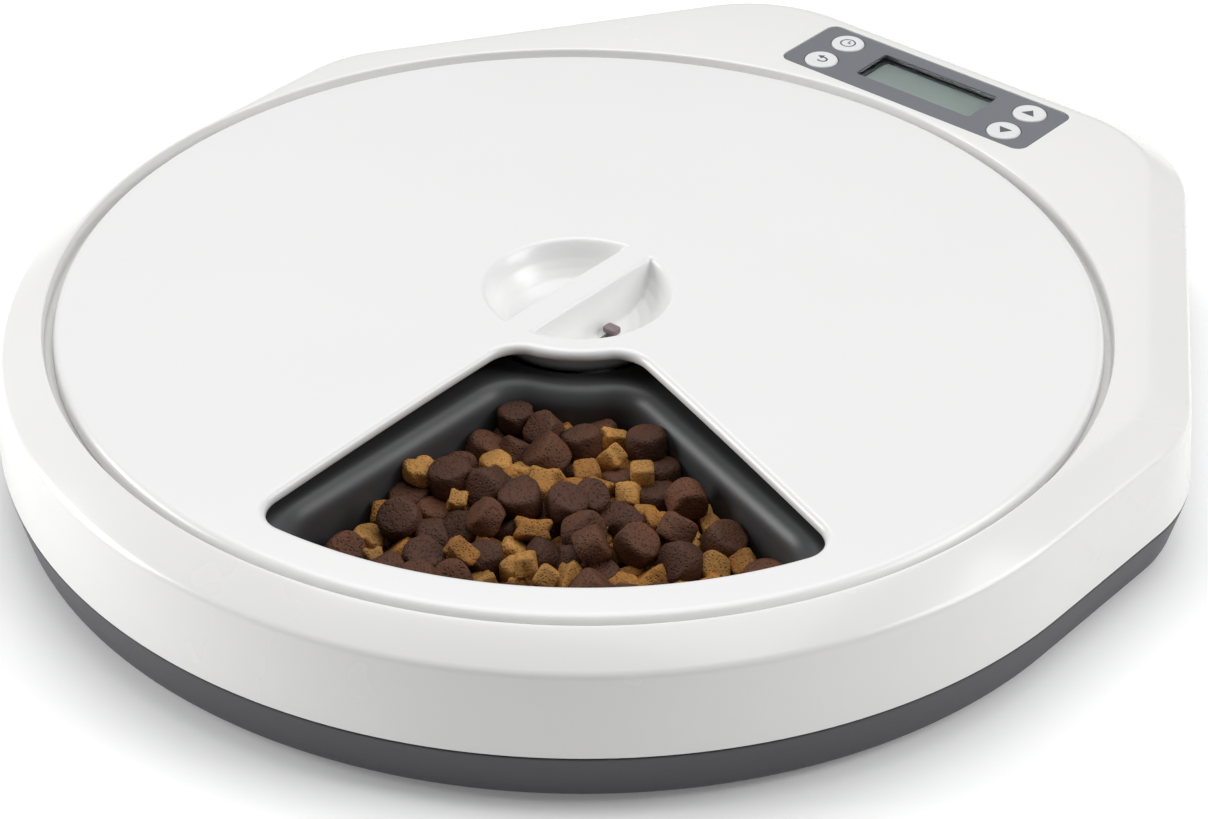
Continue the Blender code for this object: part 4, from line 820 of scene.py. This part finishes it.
# ---- console -------------------------------------------------------------------------------------
# The control label, a thick grey film set flush in the casing, the clear lens under its window, and
# a reflective liquid crystal glass in a grey frame. The film is cut round the four buttons.
FILM_TOP = overlay_high.z
overlay_grey = moulded_plastic("overlay_film", (0.165, 0.172, 0.188), 0.5, 0.00018, 0.1, 0.04, specular=0.4)
FILM_BEVEL = 0.15 * MM
film_rows = [
    placed_row(rectangle_plan(panel_width - 2 * d, panel_depth - 2 * d, panel_at, PANEL_CORNER - d, 12), z)
    for d, z in ((0.0, overlay_low.z), (0.0, FILM_TOP - FILM_BEVEL), (FILM_BEVEL, FILM_TOP))
]
film = finish_piece("control_film", capped(np.array(film_rows)), overlay_grey, None)
view_width = window_width - 3.4 * MM
view_depth = window_depth - 3.4 * MM
film_holes = [rectangle_plan(view_width, view_depth, window_at, 1.2 * MM)]
film_holes += [circle_plan(5.35 * MM, 64, button_places[name]) for name in button_names]
carve(film, [prism(hole, 45.0 * MM, 48.0 * MM) for hole in film_holes], sharp=30.0)
settle(film, "housing", ["control_overlay"])

lens_clear, lens_shader, lens_where = new_material("lens_clear")
lens_haze = noise(lens_clear, lens_where, 120.0)
wire(lens_shader, {"Transmission Weight": 1.0, "IOR": 1.08})
wire(lens_shader, {"Roughness": mapped(lens_clear, lens_haze, 0.02, 0.09)})
wire(lens_shader, {"Base Color": mixed(lens_clear, lens_haze, (0.9, 0.93, 0.92), (0.95, 0.97, 0.96))})
LENS_BEVEL = 0.2 * MM
lens_rows = [
    placed_row(rectangle_plan(window_width - 2 * d, window_depth - 2 * d, window_at, 0.8 * MM - d), z)
    for d, z in ((0.0, lens_low.z), (0.0, lens_high.z - LENS_BEVEL), (LENS_BEVEL, lens_high.z))
]
lens_shape = capped(np.array(lens_rows))
finish_piece("window_lens", lens_shape, lens_clear, "housing", ["display_window"])

module_low, module_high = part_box("display_module")
module_at = box_middle(module_low, module_high)
module_width = module_high.x - module_low.x
module_depth = module_high.y - module_low.y
black_parts = moulded_plastic("black_parts", (0.012, 0.012, 0.013), 0.45, 0.0003, 0.15, 0.12)
bezel_grey = moulded_plastic("bezel_grey", (0.075, 0.077, 0.082), 0.5, 0.0003, 0.1, 0.06)
frame_plans = [
    (0.0, module_low.z),
    (0.0, module_high.z - 0.5 * MM),
    (0.4 * MM, module_high.z - 0.1 * MM),
    (1.9 * MM, module_high.z - 0.1 * MM),
    (2.1 * MM, module_high.z - 0.6 * MM),
]
module_rows = [
    placed_row(rectangle_plan(module_width - 2 * d, module_depth - 2 * d, module_at, 1.0 * MM), z)
    for d, z in frame_plans
]
frame_shape = capped(np.array(module_rows))
finish_piece("display_frame", frame_shape, bezel_grey, "housing", ["display_module"])

display_glass, glass_shader, glass_where = new_material("display_glass")
# The glass's grey-green is painted lighter at the window's front edge and darker at its back edge. The
# darkening is painted shade, where the window's back wall shades the glass.
glass_y = add_node(display_glass, "SeparateXYZ", {"Vector": glass_where}, "Y")
view_ends = (window_at[1] - view_depth / 2, window_at[1] + view_depth / 2)
glass_painted_shade_ramp = mapped(display_glass, glass_y, 0.0, 1.0, *view_ends)
glass_grain = noise(display_glass, glass_where, 3000.0)
wire(glass_shader, {"Coat Weight": 1.0, "Coat Roughness": 0.04})
glass_colour_with_painted_shade = mixed(display_glass, glass_painted_shade_ramp, (0.36, 0.40, 0.385), (0.27, 0.31, 0.30))
wire(glass_shader, {"Base Color": glass_colour_with_painted_shade})
wire(glass_shader, {"Roughness": mapped(display_glass, glass_grain, 0.3, 0.5)})
glass_plan = rectangle_plan(module_width - 4.3 * MM, module_depth - 4.3 * MM, module_at, 0.5 * MM)
glass_shape = prism(glass_plan, module_high.z - 0.59 * MM, module_high.z - 0.3 * MM)
finish_piece("crystal_glass", glass_shape, display_glass, "housing", [])


# ---- buttons -------------------------------------------------------------------------------------
# Four off-white moulded buttons that stand just proud of the film, each with a soft edge and a
# slightly dished top. Their grey marks are printed: a clock face, a return arrow, up and down.
button_white = moulded_plastic("button_white", (0.74, 0.74, 0.745), 0.35, 0.0003, 0.05, 0.01)
mark_grey = moulded_plastic("mark_grey", (0.11, 0.115, 0.125), 0.5, 0.0002, 0.05, 0.05)
BUTTON_EDGE = 0.7 * MM
BUTTON_DISH = 0.12 * MM
MARK_RISE = 0.04 * MM


def button_rows(at, radius, low, high):
    """A turned button: wall, quarter-round edge, and a top that dips by a dish times 1 - (r / R)^2."""
    steps = [(radius, low)]
    for a in np.linspace(0.0, math.pi / 2, 7):
        steps.append((radius - BUTTON_EDGE * (1 - math.cos(a)), high - BUTTON_EDGE * (1 - math.sin(a))))
    for share in (0.85, 0.65, 0.45, 0.25, 0.05):
        steps.append(((radius - BUTTON_EDGE) * share, high - BUTTON_DISH * (1 - share**2)))
    return turned_rows(steps, at, 72)


def stroke(points, width):
    """Both edges of a line of even width: each point moved half the width along the mean normal."""
    line = np.asarray(points, float)
    ahead = np.roll(line, -1, axis=0) - line
    behind = line - np.roll(line, 1, axis=0)
    ahead[-1] = behind[-1]
    behind[0] = ahead[0]
    way = ahead / np.linalg.norm(ahead, axis=1, keepdims=True)
    way += behind / np.linalg.norm(behind, axis=1, keepdims=True)
    normal = np.column_stack([-way[:, 1], way[:, 0]])
    normal /= np.linalg.norm(normal, axis=1, keepdims=True)
    return line + normal * width / 2, line - normal * width / 2


def printed_mark(name, at, high, outlines, rings, body):
    """A mark of thin printed ink: flat plates for its outlines and flat tubes for its rings."""
    low = high - BUTTON_DISH - 0.05 * MM
    top = high + MARK_RISE - BUTTON_DISH
    shape = bmesh.new()
    for outline_points in outlines:
        plan = np.asarray(outline_points, float) * MM + np.array(at)
        absorb(shape, prism(plan, low, top))
    for radius, width in rings:
        outer, inner = (radius + width / 2) * MM, (radius - width / 2) * MM
        steps = [(outer, low), (outer, top), (inner, top), (inner, low), (outer, low)]
        add_grid(shape, turned_rows(steps, at, 64))
    return finish_piece(name, shape, mark_grey, body, [])


def closed_stroke(points, width):
    """The outline of a stroke, out along one edge and back along the other."""
    left, right = stroke(points, width)
    return np.vstack([left, right[::-1]])


turn = np.radians(np.linspace(-125.0, 120.0, 22))
hook = np.column_stack([0.25 + 1.55 * np.cos(turn), 0.05 + 1.35 * np.sin(turn)])
marks = {
    "button_set": ([closed_stroke([(0.0, 1.35), (0.0, 0.0), (1.05, 0.0)], 0.5)], [(2.25, 0.5)]),
    "button_return": (
        [closed_stroke(hook, 0.62), [(-0.35, 2.55), (-2.2, 1.25), (-0.25, 0.2)]],
        [],
    ),
    "button_up": ([[(-2.3, -1.3), (2.3, -1.3), (0.0, 1.9)]], []),
    "button_down": ([[(2.3, 1.3), (-2.3, 1.3), (0.0, -1.9)]], []),
}
button_bodies = {
    "button_set": "set_button",
    "button_return": "return_button",
    "button_up": "up_button",
    "button_down": "down_button",
}
for name in button_names:
    low, high = button_boxes[name]
    cap_radius = 5.15 * MM
    rows = button_rows(button_places[name], cap_radius, low.z, high.z)
    finish_piece(name + "_cap", capped(rows), button_white, button_bodies[name], [name])
    outlines, rings = marks[name]
    printed_mark(name + "_mark", button_places[name], high.z, outlines, rings, button_bodies[name])


# ---- battery door, feet and screws ---------------------------------------------------------------
# Under the base: the flat battery door with a ribbed thumb pad, five rubber feet pressed into their
# places, and six zinc-plated cross-head screws sunk in wells that hold the casing down.
door_plan_at = box_middle(door_low, door_high)
door_size = (door_high.x - door_low.x, door_high.y - door_low.y)
door_steps = ((0.3, 0.0), (0.08, 0.1), (0.0, 0.35), (0.0, None))
door_rows = []
for inset, lift in door_steps:
    z = door_high.z if lift is None else door_low.z + lift * MM
    width, depth = (size - 2 * inset * MM for size in door_size)
    plan = rectangle_plan(width, depth, door_plan_at, 1.0 * MM)
    door_rows.append(placed_row(plan, z))
door = finish_piece("battery_cover", capped(np.array(door_rows)), base_grey, None)
rib_cuts = []
for k in range(6):
    rib_at = (door_plan_at[0], door_high.y - (4.0 + 1.8 * k) * MM)
    rib_plan = rectangle_plan(22.0 * MM, 0.9 * MM, rib_at, 0.42 * MM)
    rib_cuts.append(prism(rib_plan, 1.0 * MM, door_low.z + 0.6 * MM))
carve(door, rib_cuts, sharp=30.0)
settle(door, "door", ["battery_door"])

foot_rubber = moulded_plastic("foot_rubber", (0.018, 0.018, 0.019), 0.75, 0.0003, 0.35, 0.15)
for k in range(1, 6):
    name = "foot_%d" % k
    low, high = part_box(name)
    at = box_middle(low, high)
    radius = (high.x - low.x) / 2
    steps = [(radius, high.z), (radius, low.z + 0.7 * MM), (radius - 0.2 * MM, low.z + 0.25 * MM)]
    steps += [(radius - 0.7 * MM, low.z), (radius - 2.2 * MM, low.z), (radius - 2.6 * MM, low.z + 0.3 * MM)]
    steps += [(0.3 * MM, low.z + 0.35 * MM)]
    rows = turned_rows(steps, at, 48)
    finish_piece(name + "_pad", capped(rows), foot_rubber, "housing", [name])


def plated_metal(name, colour, roughness, stretch=(1.0, 1.0, 1.0)):
    """Plated steel: a fine brushed or tumbled grain that varies the gloss, drawn out by a stretch."""
    material, shader, where = new_material(name)
    drawn = add_node(material, "Mapping", {"Vector": where, "Scale": stretch}, "Vector")
    grain = noise(material, drawn, 700.0, 4.0)
    gloss = mapped(material, grain, roughness - 0.08, roughness + 0.12)
    wire(shader, {"Metallic": 1.0, "Roughness": gloss})
    wire(shader, {"Base Color": mixed(material, grain, [0.85 * c for c in colour], colour)})
    wire(shader, {"Normal": bumped(material, grain, 0.08, 0.0001)})
    return material


zinc_steel = plated_metal("zinc_steel", (0.62, 0.62, 0.6), 0.32)
for name, (low, high) in zip(screw_names, screw_boxes):
    at = box_middle(low, high)
    head = (high.x - low.x) / 2
    steps = [(0.3 * MM, low.z), (head * 0.6, low.z + 0.08 * MM), (head * 0.88, low.z + 0.35 * MM)]
    steps += [(head, low.z + 0.8 * MM), (head, low.z + 1.4 * MM), (1.45 * MM, low.z + 1.4 * MM)]
    steps += [(1.45 * MM, high.z)]
    screw = finish_piece(name + "_cross", capped(turned_rows(steps, at, 40)), zinc_steel, None)
    bars = [rectangle_plan(x * MM, y * MM, at, 0.1 * MM) for x, y in ((3.2, 0.7), (0.7, 3.2))]
    carve(screw, [prism(bar, low.z - 0.5 * MM, low.z + 0.9 * MM) for bar in bars])
    settle(screw, "housing", [name])


# ---- cells and works -----------------------------------------------------------------------------
# Four AA cells in printed jackets, and what the casing hides: the drive, its gears and bushes, the
# board with its switches, contacts, leads and screws. The hidden works keep their frame meshes.
cell_jacket = moulded_plastic("cell_jacket", (0.035, 0.04, 0.05), 0.3, 0.0004, 0.05, 0.05, 0.4)
cell_band = plated_metal("cell_band", (0.72, 0.42, 0.2), 0.3)
cell_steel = plated_metal("cell_steel", (0.66, 0.66, 0.65), 0.28)
CELL_BAND = 13.0 * MM
CELL_JACKET_END = 45.0 * MM
CELL_CAP_DEPTH = 3.0 * MM
CELL_CAP_RADIUS = 6.2 * MM


def cell_ring(x, radius, at_y, at_z):
    """A circle of points across the cell's length."""
    angle = np.arange(48) * math.tau / 48
    return np.column_stack([np.full(48, x), at_y + radius * np.cos(angle), at_z + radius * np.sin(angle)])


for k in range(1, 5):
    name = "battery_%d" % k
    low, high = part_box(name)
    radius = (high.y - low.y) / 2
    at_y, at_z = (low.y + high.y) / 2, (low.z + high.z) / 2
    plus = 1.0 if k in (1, 2) else -1.0
    tip = high.x if plus > 0 else low.x
    base_end = low.x if plus > 0 else high.x
    steps = [(tip, 0.2), (tip - plus * 0.05 * MM, 2.3), (tip - plus * 0.3 * MM, 2.6)]
    steps += [(tip - plus * 1.4 * MM, 2.7), (tip - plus * 1.5 * MM, 5.6), (tip - plus * 1.42 * MM, 6.6)]
    steps += [(tip - plus * 1.6 * MM, 7.05), (tip - plus * 2.1 * MM, radius / MM)]
    steps += [(tip - plus * CELL_BAND, radius / MM), (base_end + plus * 0.6 * MM, radius / MM)]
    steps += [(base_end + plus * 0.1 * MM, 7.0), (base_end, 6.4), (base_end + plus * 0.2 * MM, 5.8)]
    steps += [(base_end + plus * 0.2 * MM, 0.2)]
    rows = np.array([cell_ring(x, min(r * MM, radius), at_y, at_z) for x, r in steps])
    cell = finish_piece(name + "_cell", capped(rows), cell_jacket, "housing", [name])
    cell.data.materials.append(cell_band)
    cell.data.materials.append(cell_steel)
    centres = np.zeros(len(cell.data.polygons) * 3)
    cell.data.polygons.foreach_get("center", centres)
    centres = centres.reshape(-1, 3)
    ring = np.hypot(centres[:, 1] - at_y, centres[:, 2] - at_z)
    along = plus * (tip - centres[:, 0])
    bare_end = (along < CELL_CAP_DEPTH) | (along > CELL_JACKET_END)
    look = np.where(along < CELL_BAND, 1, 0)
    look = np.where((ring < CELL_CAP_RADIUS) & bare_end, 2, look)
    cell.data.polygons.foreach_set("material_index", look.astype(np.int32))

steel = plated_metal("steel", (0.6, 0.6, 0.61), 0.34, (1.0, 1.0, 8.0))
nylon = moulded_plastic("nylon", (0.66, 0.63, 0.55), 0.45, 0.0003, 0.08, 0.03)
wire_red = moulded_plastic("wire_insulation", (0.3, 0.015, 0.012), 0.4, 0.0003, 0.06, 0.1)

board_green, board_shader, board_where = new_material("board_green")
board_inputs = {
    "Vector": board_where,
    "Scale": 1.0,
    "Brick Width": 9.0 * MM,
    "Row Height": 1.6 * MM,
    "Mortar Size": 0.22 * MM,
    "Color1": (0.012, 0.09, 0.035, 1.0),
    "Color2": (0.014, 0.1, 0.04, 1.0),
    "Mortar": (0.04, 0.17, 0.07, 1.0),
}
board_tracks = add_node(board_green, "TexBrick", board_inputs, "Color")
board_joints = board_tracks.node.outputs["Fac"]
wire(board_shader, {"Base Color": board_tracks, "Roughness": mapped(board_green, board_joints, 0.28, 0.42)})

hidden_works = {
    steel: [
        "spindle", "gear_motor", "motor_shaft", "battery_bridge", "battery_plus", "battery_minus",
        "motor_screw_1", "motor_screw_2", "board_screw_1", "board_screw_2",
    ],
    nylon: ["spindle_gear", "motor_pinion", "index_cam", "upper_bush", "lower_bush"],
    wire_red: ["motor_lead", "battery_lead"],
    black_parts: ["index_switch", "beeper", "switch_set", "switch_return", "switch_up", "switch_down"],
    board_green: ["circuit_board"],
}
for material, names in hidden_works.items():
    for name in names:
        nodes[name].data.materials[0] = material


# ---- meal ----------------------------------------------------------------------------------------
# Dry food in the served pocket: dark brown round biscuits, and smaller golden bones, hearts and
# cubes. The pieces were dropped in and settled, so they lie at every tilt with gaps between them.
ROUND_COUNT = 112
SMALL_COUNT = 176
ROUND_REACH = 4.7 * MM
SMALL_REACH = 3.7 * MM
meal = np.random.default_rng(11)
kinds = np.concatenate([np.zeros(ROUND_COUNT, int), np.ones(SMALL_COUNT, int)])
order = meal.permutation(len(kinds))
kinds = kinds[order]
sizes = np.where(kinds == 0, meal.uniform(0.86, 1.08, len(kinds)), meal.uniform(0.88, 1.12, len(kinds)))
reach = np.where(kinds == 0, ROUND_REACH, SMALL_REACH) * sizes


def keep_in_pocket(at, reach):
    """Moves each ball back inside the wedge: off its two sides, its two arcs and its floor."""
    wedge_sin, wedge_cos = math.sin(HALF_SECTOR), math.cos(HALF_SECTOR)
    for side in (1.0, -1.0):
        gap = at[:, 0] * wedge_sin - side * at[:, 1] * wedge_cos - POCKET_MARGIN - reach
        push = np.minimum(gap, 0.0)
        at[:, 0] -= push * wedge_sin
        at[:, 1] += side * push * wedge_cos
    radius = np.hypot(at[:, 0], at[:, 1])
    held = np.clip(radius, POCKET_INNER + reach, POCKET_OUTER - 0.5 * MM - reach)
    at[:, :2] *= (held / radius)[:, None]
    at[:, 2] = np.maximum(at[:, 2], POCKET_FLOOR + 0.8 * reach)
    return at


def settled_meal(reach):
    """Balls that fall in small steps and push each other apart, until they rest as a heap."""
    count = len(reach)
    along = meal.uniform(POCKET_INNER + 8 * MM, POCKET_OUTER - 8 * MM, count)
    across = meal.uniform(-0.42, 0.42, count)
    at = np.column_stack([along * np.cos(across), along * np.sin(across), np.zeros(count)])
    at[:, 2] = POCKET_FLOOR + 6 * MM + np.arange(count) * 0.32 * MM
    pair = reach[:, None] + reach[None, :]
    for step in range(900):
        at[:, 2] -= (0.35 if step < 700 else 0.12) * MM
        for _ in range(3):
            gap = at[:, None, :] - at[None, :, :]
            length = np.linalg.norm(gap, axis=2) + np.eye(count)
            lap = np.clip(pair - length, 0.0, None) * (1 - np.eye(count))
            at += (gap / length[:, :, None] * lap[:, :, None]).sum(axis=1) * 0.32
            at = keep_in_pocket(at, reach)
    return at


meal_places = settled_meal(reach)
turn_x = math.cos(FIRST_MEAL)
turn_y = math.sin(FIRST_MEAL)
meal_places = np.column_stack(
    [
        meal_places[:, 0] * turn_x - meal_places[:, 1] * turn_y,
        meal_places[:, 0] * turn_y + meal_places[:, 1] * turn_x + AXIS_Y,
        meal_places[:, 2],
    ]
)


def biscuit(plan, half, thick, lumps, across, up):
    """A closed lump: the plan's radius times cos(v)^0.26 across, thick times sin(v)^0.42 in height,
    pushed in and out by a few slow waves and many small ones."""
    u = np.arange(across) * math.tau / across
    v = np.linspace(-math.pi / 2, math.pi / 2, up)[1:-1]
    ring = plan(u)[None, :] * (np.cos(v) ** 0.26)[:, None] * half
    rise = (np.sign(np.sin(v)) * np.abs(np.sin(v)) ** 0.42 * thick)[:, None]
    waves = sum(a * np.sin(m * u[None, :] + n * v[:, None] * 2 + p) for a, m, n, p in lumps)
    ring = ring * (1 + waves)
    rise = rise * (1 + 0.8 * waves)
    return np.stack([ring * np.cos(u), ring * np.sin(u), rise + 0 * ring], axis=-1)


def round_plan(u):
    """A circle of radius one."""
    return np.ones_like(u)


def bone_plan(u):
    """A bone: a slim waist and two lobes at each end."""
    bearings = (0.5, -0.5, math.pi - 0.5, math.pi + 0.5)
    lobes = sum(np.exp(-((np.angle(np.exp(1j * (u - bearing))) / 0.3) ** 2)) for bearing in bearings)
    return 0.5 + 0.3 * np.abs(np.cos(u)) ** 2 + 0.42 * lobes


def heart_plan(u):
    """A heart: a point below, two round cheeks and a notch above."""
    away = np.angle(np.exp(1j * (u - math.pi / 2)))
    notch = np.exp(-((away / 0.34) ** 2))
    point = np.exp(-(((np.abs(away) - math.pi) / 0.35) ** 2))
    return 0.98 - 0.42 * notch + 0.12 * point


def cube_plan(u):
    """A square with soft corners."""
    return (np.abs(np.cos(u)) ** 5 + np.abs(np.sin(u)) ** 5) ** (-1 / 5) * 0.88


def random_turn(generator, flat):
    """A turn that leaves a piece lying flat more often than on edge."""
    tilt = generator.normal(0.0, flat)
    bearing = generator.uniform(0.0, math.tau)
    spin = generator.uniform(0.0, math.tau)
    leaning = Matrix.Rotation(tilt, 3, "X") @ Matrix.Rotation(spin, 3, "Z")
    return np.array(Matrix.Rotation(bearing, 3, "Z") @ leaning)


def food_crust(name, dark, light, pit_scale, crust):
    """Baked food: a porous crust of pits and crumbs with a dry broken gloss; its colour is darker in the
    pits as painted shade, and varies at random with the lumps.
    """
    material, shader, where = new_material(name)
    lumps = noise(material, where, pit_scale, 5.0, 0.68)
    pits = add_node(material, "TexVoronoi", {"Vector": where, "Scale": pit_scale * 1.9}, "Distance")
    pit_edge = mapped(material, pits, 0.0, 1.0, 0.05, 0.45)
    height = add_node(material, "Math", {0: pit_edge, 1: 0.55, 2: lumps}, "Value", operation="MULTIPLY_ADD")
    # Painted shade: the crust's colour follows its height and is darkest in the pits; the lumps add random
    # tone.
    crust_tone_and_painted_pit_shade = mixed(material, mapped(material, height, 0.0, 1.0, 0.35, 0.95), dark, light)
    batch = mapped(material, noise(material, where, 75.0, 1.0), 0.72, 1.28, 0.3, 0.7)
    wire(shader, {"Specular IOR Level": 0.35, "Base Color": scaled(material, crust_tone_and_painted_pit_shade, batch)})
    wire(shader, {"Normal": bumped(material, height, crust, 0.0006)})
    wire(shader, {"Roughness": mapped(material, lumps, 0.5, 0.8)})
    return material


SLOW_WAVES = ((2, 1), (3, 0), (5, 2))
FAST_WAVES = ((9, 4), (7, 6))


def heap(name, chosen, shapes, material, across, up):
    """All biscuits of one colour as one mesh, each a turned lump at its settled place."""
    shape = bmesh.new()
    for index in chosen:
        plan, half, thick = shapes[int(meal.integers(len(shapes)))]
        lumps = [(meal.uniform(0.01, 0.035), m, n, meal.uniform(0, 6.28)) for m, n in SLOW_WAVES]
        lumps += [(meal.uniform(0.005, 0.014), m, n, meal.uniform(0, 6.28)) for m, n in FAST_WAVES]
        height = thick * sizes[index] * meal.uniform(0.88, 1.1)
        body = biscuit(plan, half * sizes[index], height, lumps, across, up)
        placed = body @ random_turn(meal, 0.75).T + meal_places[index]
        part = capped(placed)
        bmesh.ops.recalc_face_normals(part, faces=part.faces)
        absorb(shape, part)
    mesh = bpy.data.meshes.new(name)
    shape.to_mesh(mesh)
    shape.free()
    mesh.materials.append(material)
    mesh.shade_smooth()
    pile = bpy.data.objects.new(name, mesh)
    scene.collection.objects.link(pile)
    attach(pile, "tray")


round_index = np.flatnonzero(kinds == 0)
small_index = np.flatnonzero(kinds == 1)
dark_crust = food_crust("dark_crust", (0.008, 0.0028, 0.0012), (0.07, 0.025, 0.011), 620.0, 0.85)
brown_crust = food_crust("brown_crust", (0.013, 0.0045, 0.002), (0.105, 0.038, 0.016), 620.0, 0.85)
gold_crust = food_crust("gold_crust", (0.075, 0.025, 0.004), (0.34, 0.145, 0.027), 700.0, 0.8)
tan_crust = food_crust("tan_crust", (0.11, 0.042, 0.008), (0.42, 0.205, 0.05), 700.0, 0.8)
discs = [(round_plan, 5.6 * MM, 3.9 * MM), (round_plan, 5.3 * MM, 4.2 * MM)]
shapes = [(bone_plan, 4.4 * MM, 2.7 * MM), (heart_plan, 4.3 * MM, 2.7 * MM)]
shapes.append((cube_plan, 3.6 * MM, 3.3 * MM))
heap("meal_dark", round_index[::2], discs, dark_crust, 30, 16)
heap("meal_brown", round_index[1::2], discs, brown_crust, 30, 16)
heap("meal_gold", small_index[::2], shapes, gold_crust, 32, 14)
heap("meal_tan", small_index[1::2], shapes, tan_crust, 32, 14)
